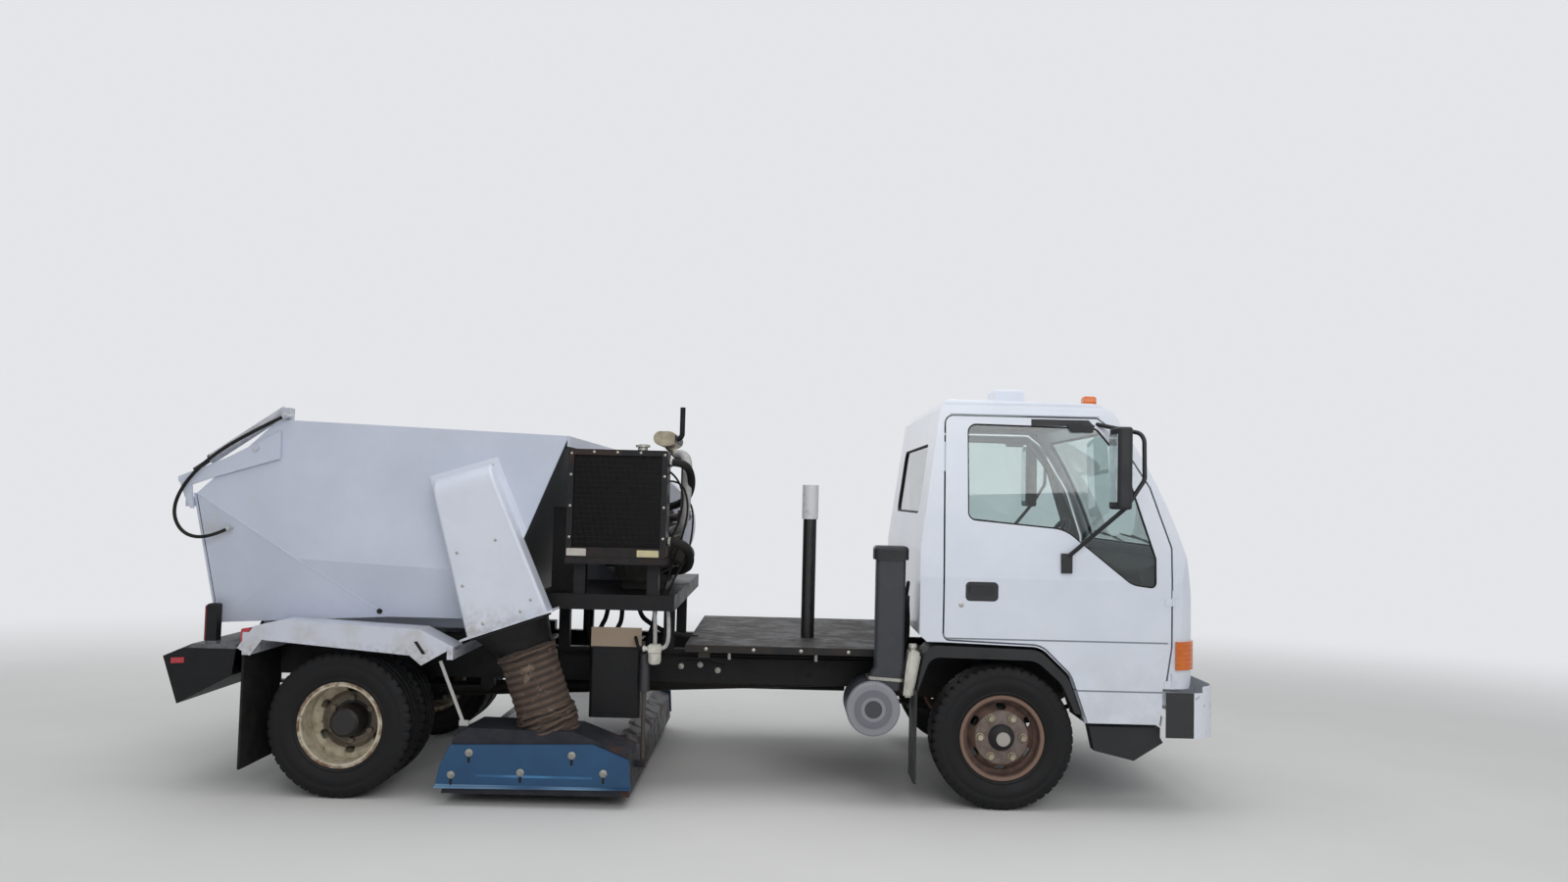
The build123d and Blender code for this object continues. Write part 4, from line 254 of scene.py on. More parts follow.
def cab_enamel():
    """White baked enamel on pressed steel: clean gloss, a thin road film at the sill, grey trim inside,
    painted shade at the door crease lines and handle pockets.
    """
    material, shader = surface("cab_enamel", IOR=1.5, Roughness=0.3, Coat_Weight=0.35, Coat_Roughness=0.12)
    film = times(material, height_band(material, 0.95, 0.45), patches(material, 0.2, 0.42, 0.85))
    clean = mixed(material, patches(material, 0.55, 0.35, 0.65), "dfe4ee", "d6dce8")
    # painted shade: grey lines darken the crease lines of the doors
    crease_shade = either(material, *(inside(material, z=band) for band in DOOR_CREASE_SHADE_Z))
    crease_shade = times(material, crease_shade, inside(material, x=DOOR_CREASE_SHADE_X))
    film_and_crease_shade = mixed(material, crease_shade, mixed(material, film, clean, "bdbdbe"), "8e939d")
    lined = mixed(material, cab_lining_mask(material), film_and_crease_shade, "77797b")
    # painted shade: the door handle pockets are darkened to near black
    pockets = either(material, *(inside(material, y=depth) for depth in POCKET_DEPTHS_Y))
    pocket_shade = times(material, pockets, inside(material, **HANDLE_POCKET))
    colour_by(material, shader, mixed(material, pocket_shade, lined, "15161a"))
    roughness_by(material, shader, film, 0.28, 0.55)
    relief(material, shader, patches(material, 0.004, 0.3, 0.7, 2.0), 0.00006)
    return material


def bumper_enamel():
    """White enamel on the bumper's face, knocked and stained at its corners; its swept ends are black."""
    material, shader = surface("bumper_enamel", IOR=1.5, Roughness=0.35, Coat_Weight=0.25, Coat_Roughness=0.2)
    knocks = patches(material, 0.035, 0.60, 0.70, 7.0)
    worn = mixed(material, knocks, "dde2ec", "9a9da3")
    ends = inside(material, **BUMPER_ENDS)
    colour_by(material, shader, mixed(material, ends, worn, "1a1b1e"))
    roughness_by(material, shader, ends, 0.32, 0.55)
    relief(material, shader, patches(material, 0.03, 0.3, 0.7, 3.0), 0.0008)
    return material


def hopper_paint():
    """White shop paint on welded sheet: chalky and bluish, with a few yellow stains and specks of rust."""
    material, shader = surface("hopper_paint", IOR=1.48, Roughness=0.45, Coat_Weight=0.12, Coat_Roughness=0.3)
    chalk = mixed(material, patches(material, 0.5, 0.35, 0.65), "cfd5e4", "c4cbdb")
    runs = patches(material, 0.05, 0.35, 0.7, 5.0, (1, 1, 0.25))
    stain = times(material, patches(material, 0.30, 0.60, 0.74), runs)
    stained = mixed(material, times(material, stain, 0.6), chalk, "c2b896")
    rust = patches(material, 0.02, 0.735, 0.775, 6.0)
    colour_by(material, shader, mixed(material, rust, stained, "8a6148"))
    roughness_by(material, shader, rust, 0.42, 0.85)
    relief(material, shader, patches(material, 0.12, 0.3, 0.7, 2.0), 0.0008)
    return material


def duct_paint():
    """Brighter white paint on the suction duct, which was made and painted later than the hopper."""
    material, shader = surface("duct_paint", IOR=1.48, Roughness=0.4, Coat_Weight=0.2, Coat_Roughness=0.25)
    fresh = mixed(material, patches(material, 0.3, 0.35, 0.65), "dde1ec", "d3d9e6")
    grime = times(material, height_band(material, 1.02, 0.84), patches(material, 0.05, 0.38, 0.7))
    colour_by(material, shader, mixed(material, grime, fresh, "9d998f"))
    roughness_by(material, shader, grime, 0.38, 0.7)
    relief(material, shader, patches(material, 0.09, 0.3, 0.7, 2.0), 0.0006)
    return material


def painted_shade_front_wall():
    """Dark grey on the hopper's front wall, standing in for the shade it lies in, with painted shade near
    black low down beside the engine.
    """
    material, shader = surface("painted_shade_front_wall", IOR=1.5, Roughness=0.6)
    # painted shade: darker towards the foot of the wall, near black low down
    darkened_part = height_band(material, 1.65, 1.25)
    # the wall's dark grey stands in for the shade over it
    grey = mixed(material, patches(material, 0.08, 0.35, 0.7), "4c5155", "5a6063")
    colour_by(material, shader, mixed(material, darkened_part, grey, "17181a"))
    relief(material, shader, patches(material, 0.02, 0.3, 0.7), 0.0005)
    return material


def fender_paint():
    """White paint over the rear wheels, greyed by thrown dust, with a rubbed strip along the fold."""
    material, shader = surface("fender_paint", IOR=1.48, Roughness=0.5, Coat_Weight=0.1, Coat_Roughness=0.3)
    dust = patches(material, 0.14, 0.45, 0.85)
    dusty = mixed(material, dust, "d0d4e0", "b9b7b4")
    edge = times(material, height_band(material, 0.80, 0.74), patches(material, 0.03, 0.45, 0.65))
    colour_by(material, shader, mixed(material, times(material, edge, 0.55), dusty, "8b8178"))
    roughness_by(material, shader, dust, 0.4, 0.7)
    relief(material, shader, patches(material, 0.03, 0.3, 0.7), 0.0004)
    return material


# Road dust takes part of the shine off everything black near the ground.
DUSTY_GLOSS = 0.28


def chassis_paint():
    """Black chassis paint under a thin coat of brown dust, with rust breaking through at knocks."""
    material, shader = surface("chassis_paint", IOR=1.5, Roughness=0.55, Specular_IOR_Level=DUSTY_GLOSS)
    dust = patches(material, 0.09, 0.48, 0.9)
    dusty = mixed(material, dust, "0e0e11", "26231f")
    rust = patches(material, 0.04, 0.67, 0.74, 7.0)
    colour_by(material, shader, mixed(material, rust, dusty, "3f2a20"))
    roughness_by(material, shader, dust, 0.45, 0.85)
    relief(material, shader, patches(material, 0.012, 0.3, 0.7), 0.0005)
    return material


def rear_bumper_paint():
    """Black paint on the rear bumper, its top worn to grey where it is stepped on."""
    material, shader = surface("rear_bumper_paint", IOR=1.5, Roughness=0.6, Specular_IOR_Level=DUSTY_GLOSS)
    tread = times(material, inside(material, **STEP_TREAD), patches(material, 0.07, 0.3, 0.6))
    black = mixed(material, patches(material, 0.1, 0.4, 0.8), "0d0e11", "1a1a1c")
    colour_by(material, shader, mixed(material, tread, black, "6f7173"))
    roughness_by(material, shader, tread, 0.5, 0.8)
    relief(material, shader, patches(material, 0.012, 0.3, 0.7), 0.0005)
    return material


def chequer_plate():
    """Steel chequer plate of the deck, black with ground-in dirt; its crossing bars, about 30 mm apart on the
    real plate, are drawn 84 mm apart so that they show."""
    material, shader = surface("chequer_plate", IOR=1.5, Roughness=0.55, Specular_IOR_Level=DUSTY_GLOSS)
    along_axis = 0.084 * math.sqrt(2)
    crossing = [ribbing(material, "DIAGONAL", along_axis, way) for way in ((1, 1, 0), (1, -1, 0))]
    raised = either(material, *crossing)
    dirt = patches(material, 0.12, 0.40, 0.75)
    colour_by(material, shader, mixed(material, dirt, "1a1a1c", "3a342e"))
    roughness_by(material, shader, dirt, 0.45, 0.85)
    relief(material, shader, raised, 0.0012)
    return material


def radiator_enamel():
    """Black enamel on the radiator, brown with scorched dust along its top tank and its bottom channel."""
    material, shader = surface("radiator_enamel", IOR=1.5, Roughness=0.5, Specular_IOR_Level=DUSTY_GLOSS)
    black = mixed(material, patches(material, 0.06, 0.4, 0.8), "0f0f12", "1d1c1f")
    top = times(material, height_band(material, 1.70, 1.745), inside(material, **SCORCHED_TANK))
    browned = mixed(material, top, black, "2c201b")
    foot = times(material, inside(material, **SCORCHED_CHANNEL), patches(material, 0.05, 0.42, 0.62))
    colour_by(material, shader, mixed(material, foot, browned, "302622"))
    roughness_by(material, shader, foot, 0.42, 0.8)
    relief(material, shader, patches(material, 0.008, 0.3, 0.7), 0.0003)
    return material


def tank_paint():
    """Black tank paint, with a bare beige guard strip standing on the hydraulic tank."""
    material, shader = surface("tank_paint", IOR=1.5, Roughness=0.55, Specular_IOR_Level=DUSTY_GLOSS)
    dust = patches(material, 0.08, 0.45, 0.9)
    black = mixed(material, dust, "0d0e11", "201e1c")
    strip = times(material, inside(material, **GUARD_STRIP), patches(material, 0.06, 0.1, 0.3))
    colour_by(material, shader, mixed(material, strip, black, "a3927f"))
    roughness_by(material, shader, dust, 0.4, 0.8)
    relief(material, shader, patches(material, 0.012, 0.3, 0.7), 0.0003)
    return material


def swept_steel():
    """Slate-black steel of the pickup head, rusted at its nose; bright plated strut, lift rod oily brown."""
    material, shader = surface("swept_steel", IOR=1.5, Roughness=0.5, Specular_IOR_Level=DUSTY_GLOSS)
    slate = mixed(material, patches(material, 0.09, 0.4, 0.8), "20222a", "34343a")
    rust = times(material, inside(material, **HEAD_NOSE), patches(material, 0.09, 0.50, 0.66))
    rusted = mixed(material, rust, slate, "49332a")
    strut = inside(material, **HEAD_STRUT)
    rod = inside(material, **LIFT_ROD)
    oiled = mixed(material, rod, rusted, "4d4844")
    colour_by(material, shader, mixed(material, strut, oiled, "b9b8b4"))
    roughness_by(material, shader, rust, 0.45, 0.85)
    relief(material, shader, patches(material, 0.014, 0.3, 0.7), 0.0006)
    return material


def moulded_black():
    """Black polypropylene mouldings: fine grain, slightly greyed by sun."""
    material, shader = surface("moulded_black", IOR=1.49, Roughness=0.5)
    colour_by(material, shader, mixed(material, patches(material, 0.14, 0.35, 0.8), "111215", "202124"))
    roughness_by(material, shader, patches(material, 0.07, 0.3, 0.7), 0.42, 0.68)
    relief(material, shader, patches(material, 0.0016, 0.3, 0.7, 2.0), 0.00012)
    return material


def canister_plastic():
    """Grey moulded air filter: pale rings round its dark middle, a charcoal snorkel with a black cap."""
    material, shader = surface("canister_plastic", IOR=1.49, Roughness=0.5)
    dust = patches(material, 0.07, 0.35, 0.8)
    body = mixed(material, dust, "2c2f36", "3a3c41")
    face = inside(material, **FILTER_FACE)
    rings = mixed(material, round_hub(material, FILTER_MIDDLE, 0.062, 0.096), "888a90", "6b6e75")
    middle = mixed(material, round_hub(material, FILTER_MIDDLE, 0.0, 0.045), rings, "3c3e43")
    faced = mixed(material, face, body, middle)
    cap = inside(material, **SNORKEL_CAP)
    colour_by(material, shader, mixed(material, cap, faced, "131417"))
    roughness_by(material, shader, dust, 0.42, 0.7)
    relief(material, shader, patches(material, 0.002, 0.3, 0.7, 2.0), 0.00015)
    return material


def post_tube():
    """Tool post: black steel tube below, white PVC sleeve above, yellowed and scuffed."""
    material, shader = surface("post_tube", IOR=1.5, Roughness=0.45)
    scuffs = patches(material, 0.04, 0.55, 0.75)
    white = mixed(material, scuffs, "d9dadd", "a8a7a3")
    black = mixed(material, patches(material, 0.06, 0.4, 0.8), "141518", "2b2926")
    colour_by(material, shader, mixed(material, inside(material, **POST_SLEEVE), black, white))
    roughness_by(material, shader, scuffs, 0.35, 0.6)
    relief(material, shader, patches(material, 0.01, 0.3, 0.7), 0.0002)
    return material


def blue_enamel():
    """Blue enamel on the pickup head's end plates, scraped to a pale streak along its foot."""
    material, shader = surface("blue_enamel", IOR=1.5, Roughness=0.4, Coat_Weight=0.25, Coat_Roughness=0.2)
    fade = mixed(material, patches(material, 0.15, 0.35, 0.7), "093f66", "0e4a73")
    streak = times(material, inside(material, **PLATE_FOOT), patches(material, 0.5, 0.30, 0.5, 1.0))
    streaked = mixed(material, streak, fade, "6f92b3")
    scrape = times(material, inside(material, **PLATE_SCRAPE), patches(material, 0.35, 0.40, 0.60, 1.0))
    scraped = mixed(material, scrape, streaked, "3f7bae")
    colour_by(material, shader, mixed(material, patches(material, 0.02, 0.70, 0.75, 6.0), scraped, "5b4238"))
    roughness_by(material, shader, streak, 0.36, 0.6)
    relief(material, shader, patches(material, 0.03, 0.3, 0.7), 0.0004)
    return material


HOSE_TOP = Vector((-0.864, -0.928, 0.762))
HOSE_FOOT = Vector((-0.723, -0.928, 0.366))
HOSE_AXIS = (HOSE_FOOT - HOSE_TOP).normalized()
HOSE_OUTSIDE = 0.143
HOSE_RIB_PITCH = 0.037
REAR_HUB = (-1.7775, 0.364)
FRONT_HUB = (1.5875, 0.364)


def cream_wheel_enamel():
    """Cream enamel on the rear wheels: rust along the rim's edge, a brown disc also darkened as painted
    shade, and near-black painted shade in the hollow round the hub.
    """
    material, shader = surface("cream_wheel_enamel", IOR=1.5, Roughness=0.5)
    stained = mixed(material, patches(material, 0.05, 0.45, 0.72), "c9c0ab", "9a8a70")
    flaking = patches(material, 0.05, 0.35, 0.6, 6.0)
    edge = times(material, round_hub(material, REAR_HUB, 0.204, 0.23), flaking)
    rimmed = mixed(material, edge, stained, "6f4e39")
    # the disc is brown, and darker still as painted shade
    dish = mixed(material, times(material, round_hub(material, REAR_HUB, 0.0, 0.150), 0.75), rimmed, "4a3e34")
    # painted shade: the hollow round the hub is near black
    hub = mixed(material, round_hub(material, REAR_HUB, 0.0, 0.098), dish, "201d1c")
    colour_by(material, shader, mixed(material, patches(material, 0.035, 0.62, 0.70, 6.0), hub, "5b4230"))
    relief(material, shader, patches(material, 0.012, 0.3, 0.7), 0.0005)
    return material


def rusted_wheel_steel():
    """Front wheels with their paint gone: brown rust, greyer on the disc, black hub ring, bright cap."""
    material, shader = surface("rusted_wheel_steel", IOR=1.6, Roughness=0.75)
    brown = mixed(material, patches(material, 0.05, 0.35, 0.7, 7.0), "46342d", "6b5145")
    disc = times(material, round_hub(material, FRONT_HUB, 0.0, 0.135), patches(material, 0.06, 0.25, 0.6))
    greyed = mixed(material, disc, brown, "786c67")
    edge = mixed(material, round_hub(material, FRONT_HUB, 0.200, 0.23), greyed, "7c6253")
    ring = mixed(material, round_hub(material, FRONT_HUB, 0.0, 0.068), edge, "151415")
    colour_by(material, shader, mixed(material, round_hub(material, FRONT_HUB, 0.0, 0.036), ring, "a7a29c"))
    relief(material, shader, patches(material, 0.006, 0.3, 0.7, 6.0), 0.0006)
    return material


def tyre_rubber():
    """Tyre rubber: dark flanks, the tread and lower flanks greyed with dry earth."""
    material, shader = surface("tyre_rubber", IOR=1.52, Roughness=0.72, Specular_IOR_Level=DUSTY_GLOSS)
    earth = patches(material, 0.06, 0.40, 0.85, 6.0)
    colour_by(material, shader, mixed(material, earth, "0b0c0f", "201e1c"))
    roughness_by(material, shader, earth, 0.6, 0.9)
    relief(material, shader, patches(material, 0.005, 0.3, 0.7), 0.0003)
    return material


def black_rubber():
    """Sheet and moulded rubber, matt, with a dusty bloom."""
    material, shader = surface("black_rubber", IOR=1.52, Roughness=0.8, Specular_IOR_Level=DUSTY_GLOSS)
    colour_by(material, shader, mixed(material, patches(material, 0.08, 0.4, 0.85), "151517", "302d29"))
    relief(material, shader, patches(material, 0.003, 0.3, 0.7), 0.0002)
    return material


def hose_fabric():
    """Suction hose of rubbered fabric on a wire coil: dust-brown on its ribs, with painted shade darkening
    the hollows between them.
    """
    material, shader = surface("hose_fabric", IOR=1.5, Roughness=0.85)
    along = add(material, "VectorMath", {"operation": "DOT_PRODUCT", 1: HOSE_AXIS}, {0: place(material)})
    down = add(material, "Math", {"operation": "SUBTRACT", 1: HOSE_TOP.dot(HOSE_AXIS)},
               {0: along.outputs["Value"]})
    turn = times(material, down.outputs[0], 2 * math.pi / HOSE_RIB_PITCH)
    wave = add(material, "Math", {"operation": "COSINE"}, {0: turn})
    crests = add(material, "MapRange", {"From Min": 1.0, "From Max": -1.0}, {"Value": wave.outputs[0]})
    ribs = crests.outputs[0]
    cloth = mixed(material, patches(material, 0.09, 0.35, 0.7, 6.0), "55463d", "6a594d")
    # painted shade: the hollows between the ribs are darkened
    valley_shade = mixed(material, ribs, "352b26", cloth)
    colour_by(material, shader, mixed(material, patches(material, 0.05, 0.58, 0.76, 6.0), valley_shade, "8d7a69"))
    relief(material, shader, ribs, 0.003)
    return material


def tinted_glass():
    """Toughened glass with a faint green tint."""
    material, shader = surface("tinted_glass", IOR=1.5, Transmission_Weight=1.0)
    colour_by(material, shader, mixed(material, patches(material, 0.3, 0.3, 0.7), "cfdcdb", "d8e2e2"))
    roughness_by(material, shader, patches(material, 0.2, 0.45, 0.9), 0.01, 0.06)
    return material


def amber_acrylic():
    """Amber acrylic lamp lenses with moulded flutes, drawn 24 mm apart so that they show."""
    material, shader = surface("amber_acrylic", IOR=1.49, Roughness=0.18, Transmission_Weight=0.25)
    colour_by(material, shader, mixed(material, patches(material, 0.06, 0.3, 0.7), "e8651a", "f08a2c"))
    relief(material, shader, ribbing(material, "Z", 0.0237), 0.0008)
    return material


def red_acrylic():
    """Red acrylic tail lenses, dulled by sun; moulded flutes, drawn 20 mm apart so that they show."""
    material, shader = surface("red_acrylic", IOR=1.49, Roughness=0.3, Transmission_Weight=0.2)
    colour_by(material, shader, mixed(material, patches(material, 0.05, 0.3, 0.7), "7c1519", "9b2a26"))
    relief(material, shader, ribbing(material, "Z", 0.01974), 0.0006)
    return material


def clear_polycarbonate():
    """Clear headlamp lenses over bright reflectors; upright flutes, drawn 28 mm apart so that they show."""
    material, shader = surface("clear_polycarbonate", IOR=1.58, Roughness=0.12, Metallic=0.25,
                               Coat_Weight=0.6)
    colour_by(material, shader, mixed(material, patches(material, 0.12, 0.3, 0.7), "b9c1c6", "dde3e6"))
    relief(material, shader, ribbing(material, "Y", 0.0276), 0.001)
    return material


def oily_casting():
    """Cast iron engine castings, sand-rough, dark with oil and soot."""
    material, shader = surface("oily_casting", IOR=1.5, Roughness=0.55, Metallic=0.35)
    oil = patches(material, 0.05, 0.40, 0.75, 6.0)
    colour_by(material, shader, mixed(material, oil, "3a3733", "191817"))
    roughness_by(material, shader, oil, 0.7, 0.35)
    relief(material, shader, patches(material, 0.004, 0.3, 0.7), 0.0006)
    return material


def aluminised_steel():
    """Aluminised steel of the muffler, dulled to beige by heat; its outlet and stack are black with soot."""
    material, shader = surface("aluminised_steel", Metallic=0.6, Roughness=0.5)
    beige = mixed(material, patches(material, 0.05, 0.35, 0.7, 6.0), "b3a992", "8b8272")
    darkened_part = inside(material, **MUFFLER_OUTLET)
    colour_by(material, shader, mixed(material, darkened_part, beige, "17171a"))
    roughness_by(material, shader, patches(material, 0.03, 0.3, 0.7), 0.4, 0.65)
    relief(material, shader, patches(material, 0.01, 0.3, 0.7), 0.0002)
    return material


def cylinder_enamel():
    """Pale grey enamel on the hydraulic cylinders; lift barrel and tailgate rods are dark with oil."""
    material, shader = surface("cylinder_enamel", IOR=1.5, Roughness=0.4)
    pale = mixed(material, patches(material, 0.05, 0.4, 0.75), "c3c7cf", "9b9c9e")
    oily = either(material, inside(material, **TAILGATE_RODS), inside(material, **LIFT_BARREL))
    colour_by(material, shader, mixed(material, oily, pale, "343336"))
    roughness_by(material, shader, patches(material, 0.03, 0.3, 0.7), 0.3, 0.55)
    relief(material, shader, patches(material, 0.01, 0.3, 0.7), 0.0002)
    return material


def zinc_plate():
    """Zinc-plated screws and rods, dull silver."""
    material, shader = surface("zinc_plate", Metallic=0.9, Roughness=0.4)
    colour_by(material, shader, mixed(material, patches(material, 0.01, 0.35, 0.7), "b4b2aa", "8e8c86"))
    relief(material, shader, patches(material, 0.002, 0.3, 0.7), 0.0001)
    return material


def white_polyethylene():
    """Blow-moulded polyethylene, milky, greyed by dust."""
    material, shader = surface("white_polyethylene", IOR=1.51, Roughness=0.45, Subsurface_Weight=0.15)
    shader.inputs["Subsurface Scale"].default_value = 0.01
    colour_by(material, shader, mixed(material, patches(material, 0.06, 0.4, 0.75), "d9d8d0", "aba698"))
    relief(material, shader, patches(material, 0.01, 0.3, 0.7), 0.0003)
    return material


def dash_vinyl():
    """Charcoal vinyl-skinned dashboard with a pebbled grain."""
    material, shader = surface("dash_vinyl", IOR=1.5, Roughness=0.6)
    colour_by(material, shader, mixed(material, patches(material, 0.2, 0.35, 0.7), "2b2c2e", "38393b"))
    pebble = add(material, "TexVoronoi", {"Scale": 1 / 0.004}, {"Vector": place(material)})
    relief(material, shader, pebble.outputs[0], 0.0003)
    return material


def tail_reflector():
    """Red retro-reflector with its honeycomb of 5 mm cells."""
    material, shader = surface("tail_reflector", IOR=1.49, Roughness=0.2, Coat_Weight=0.5)
    cells = add(material, "TexVoronoi", {"Scale": 1 / 0.005}, {"Vector": place(material)}).outputs[0]
    colour_by(material, shader, mixed(material, patches(material, 0.03, 0.3, 0.7), "a81f2b", "c43a40"))
    relief(material, shader, cells, 0.0006)
    return material


def pad_paint():
    """Pale painted pads on the radiator's foot, chalky white at the rear and yellowed at the front."""
    material, shader = surface("pad_paint", IOR=1.5, Roughness=0.55)
    chalk = mixed(material, inside(material, **FRONT_PAD), "c4c0bc", "d6cb94")
    colour_by(material, shader, mixed(material, patches(material, 0.06, 0.35, 0.75, 2.0), chalk, "b3ab9c"))
    relief(material, shader, patches(material, 0.006, 0.3, 0.7), 0.0002)
    return material


def grey_pipe_plastic():
    """Light grey moulded pipe, greyed by dust."""
    material, shader = surface("grey_pipe_plastic", IOR=1.5, Roughness=0.5)
    colour_by(material, shader, mixed(material, patches(material, 0.04, 0.4, 0.75), "b4b3b4", "8c8984"))
    relief(material, shader, patches(material, 0.005, 0.3, 0.7), 0.0002)
    return material


def core_aluminium():
    """Radiator fins of thin aluminium sheet under black dip paint."""
    material, shader = surface("core_aluminium", Metallic=0.4, Roughness=0.55)
    colour_by(material, shader, mixed(material, patches(material, 0.05, 0.4, 0.8), "101114", "24211f"))
    relief(material, shader, patches(material, 0.003, 0.3, 0.7), 0.0001)
    return material


def silvered_glass():
    """Mirror glass, dusty at its rim."""
    material, shader = surface("silvered_glass", Metallic=1.0, Roughness=0.05)
    colour_by(material, shader, mixed(material, patches(material, 0.06, 0.4, 0.8), "c9ced2", "aeb3b6"))
    roughness_by(material, shader, patches(material, 0.05, 0.4, 0.8), 0.03, 0.2)
    return material


def seat_tweed():
    """Grey tweed seat cloth; its 1.5 mm threads are drawn 24 mm apart along an axis so that they show."""
    material, shader = surface("seat_tweed", IOR=1.45, Roughness=0.9, Sheen_Weight=0.3, Sheen_Roughness=0.5)
    warp = ribbing(material, "DIAGONAL", 0.0237)
    flecks = times(material, warp, patches(material, 0.02, 0.3, 0.7))
    colour_by(material, shader, mixed(material, flecks, "4d5054", "73767a"))
    relief(material, shader, warp, 0.0005)
    return material


def seen_directly(material):
    """1 for rays that show the background: from the camera, in reflections and through glass."""
    path = add(material, "LightPath")
    seen = either(material, path.outputs["Is Camera Ray"], path.outputs["Is Glossy Ray"])
    return either(material, seen, path.outputs["Is Transmission Ray"])


BACKDROP = "e9ebee"
BACKDROP_LEVEL = 0.95


def floor_material():
    """Pale matt studio floor that keeps the object's shadow and runs out into the backdrop far from it."""
    material, shader = surface("studio_floor", IOR=1.45, Roughness=0.9)
    colour_by(material, shader, mixed(material, patches(material, 1.5, 0.3, 0.7), "dcdcda", "e2e2e0"))
    glow = add(material, "Emission", {"Color": linear(BACKDROP), "Strength": BACKDROP_LEVEL})
    away = add(material, "VectorMath", {"operation": "LENGTH"}, {0: place(material, (0.8, 1, 1))})
    fade = add(material, "MapRange", {"interpolation_type": "SMOOTHSTEP", "From Min": 3.6, "From Max": 9.5},
               {"Value": away.outputs["Value"]})
    factor = times(material, fade.outputs[0], seen_directly(material))
    blend = add(material, "MixShader", None, {0: factor, 1: shader.outputs[0], 2: glow.outputs[0]})
    # from below the floor can be seen through, so that the underside shows
    clear = add(material, "BsdfTransparent")
    below = add(material, "NewGeometry").outputs["Backfacing"]
    whole = add(material, "MixShader", None, {0: below, 1: blend.outputs[0], 2: clear.outputs[0]})
    ending = next(node for node in material.node_tree.nodes if node.type == "OUTPUT_MATERIAL")
    material.node_tree.links.new(whole.outputs[0], ending.inputs["Surface"])
    return material


MATERIALS = {make.__name__: make() for make in (
    cab_enamel, hopper_paint, fender_paint, chassis_paint, moulded_black, blue_enamel, cream_wheel_enamel,
    rusted_wheel_steel, tyre_rubber, black_rubber, hose_fabric, tinted_glass, amber_acrylic, red_acrylic,
    clear_polycarbonate, oily_casting, aluminised_steel, zinc_plate, white_polyethylene, dash_vinyl,
    seat_tweed, bumper_enamel, duct_paint, painted_shade_front_wall, rear_bumper_paint, chequer_plate,
    radiator_enamel, tank_paint, swept_steel, canister_plastic, post_tube, cylinder_enamel, tail_reflector,
    pad_paint, grey_pipe_plastic, core_aluminium, silvered_glass,
)}

# the finish of each piece that the frame brings with it
NODE_FINISH = {
    "cab_enamel": ("cab_roof", "cab_rear", "cab_front", "cab_floor", "door_right", "door_left"),
    "bumper_enamel": ("front_bumper",),
    "hopper_paint": ("hopper_side_right", "hopper_side_left", "hopper_roof", "hopper_floor", "tailgate"),
    "duct_paint": ("side_duct",),
    "painted_shade_front_wall": ("hopper_front",),
    "fender_paint": ("rear_fenders", "fan_housing"),
    "chassis_paint": ("frame", "subframe", "suction_cone", "front_axle", "rear_axle",
                      "knuckle_right", "knuckle_left"),
    "rear_bumper_paint": ("rear_bumper",),
    "chequer_plate": ("deck",),
    "radiator_enamel": ("radiator",),
    "tank_paint": ("tanks",),
    "swept_steel": ("pickup_head",),
    "moulded_black": ("front_arches", "grille", "mirror_right", "mirror_left"),
    "canister_plastic": ("air_filter",),
    "post_tube": ("tool_post",),
    "blue_enamel": ("head_plates",),
    "cream_wheel_enamel": ("rear_wheels_right", "rear_wheels_left"),
    "rusted_wheel_steel": ("front_wheel_right", "front_wheel_left"),
    "tyre_rubber": ("front_tyre_right", "front_tyre_left", "rear_tyres_right", "rear_tyres_left"),
    "black_rubber": ("mud_flaps", "gate_hose"),
    "hose_fabric": ("suction_hose",),
    "tinted_glass": ("cab_glass", "door_glass_right", "door_glass_left"),
    "amber_acrylic": ("marker_lamps",),
    "red_acrylic": ("tail_lamps",),
    "clear_polycarbonate": ("headlamps",),
    "oily_casting": ("drivetrain", "aux_engine"),
    "aluminised_steel": ("muffler",),
    "cylinder_enamel": ("dump_cylinder", "gate_cylinders"),
    "white_polyethylene": ("water_bottle",),
    "dash_vinyl": ("dashboard",),
    "seat_tweed": ("seats",),
}


def dress_frame():
    """Gives every node of the frame its finish."""
    for finish, names in NODE_FINISH.items():
        for name in names:
            node = NODES[name]
            if not node.data.materials:
                node.data.materials.append(MATERIALS[finish])
            for slot in node.material_slots:
                slot.material = MATERIALS[finish]


# Making of pieces

def hang(name, shape, finish, body):
    """Puts a finished shape into the scene, riding on a body, with its finish."""
    shape.materials.append(MATERIALS[finish])
    obj = bpy.data.objects.new(name, shape)
    scene.collection.objects.link(obj)
    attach(obj, body)
    return obj


def piece(name, mesh_maker, finish, body, replaced=(), smooth=40):
    """A mesh piece from a bmesh function; its edges sharper than an angle stay sharp."""
    shape = bmesh.new()
    mesh_maker(shape)
    mesh = bpy.data.meshes.new(name)
    shape.to_mesh(mesh)
    shape.free()
    mesh.polygons.foreach_set("use_smooth", [True] * len(mesh.polygons))
    mesh.set_sharp_from_angle(angle=math.radians(smooth))
    obj = hang(name, mesh, finish, body)
    if replaced:
        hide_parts(*replaced)
    return obj


def round_curve(name, kind, routes, radius):
    """A curve of round section along routes of points, smooth or in straight steps by its kind."""
    curve = bpy.data.curves.new(name, "CURVE")
    curve.dimensions = "3D"
    curve.bevel_depth = radius
    curve.resolution_u = 8
    for points in routes:
        spline = curve.splines.new(kind)
        spline.points.add(len(points) - 1)
        for target, point in zip(spline.points, points):
            target.co = (*point, 1.0)
    return curve


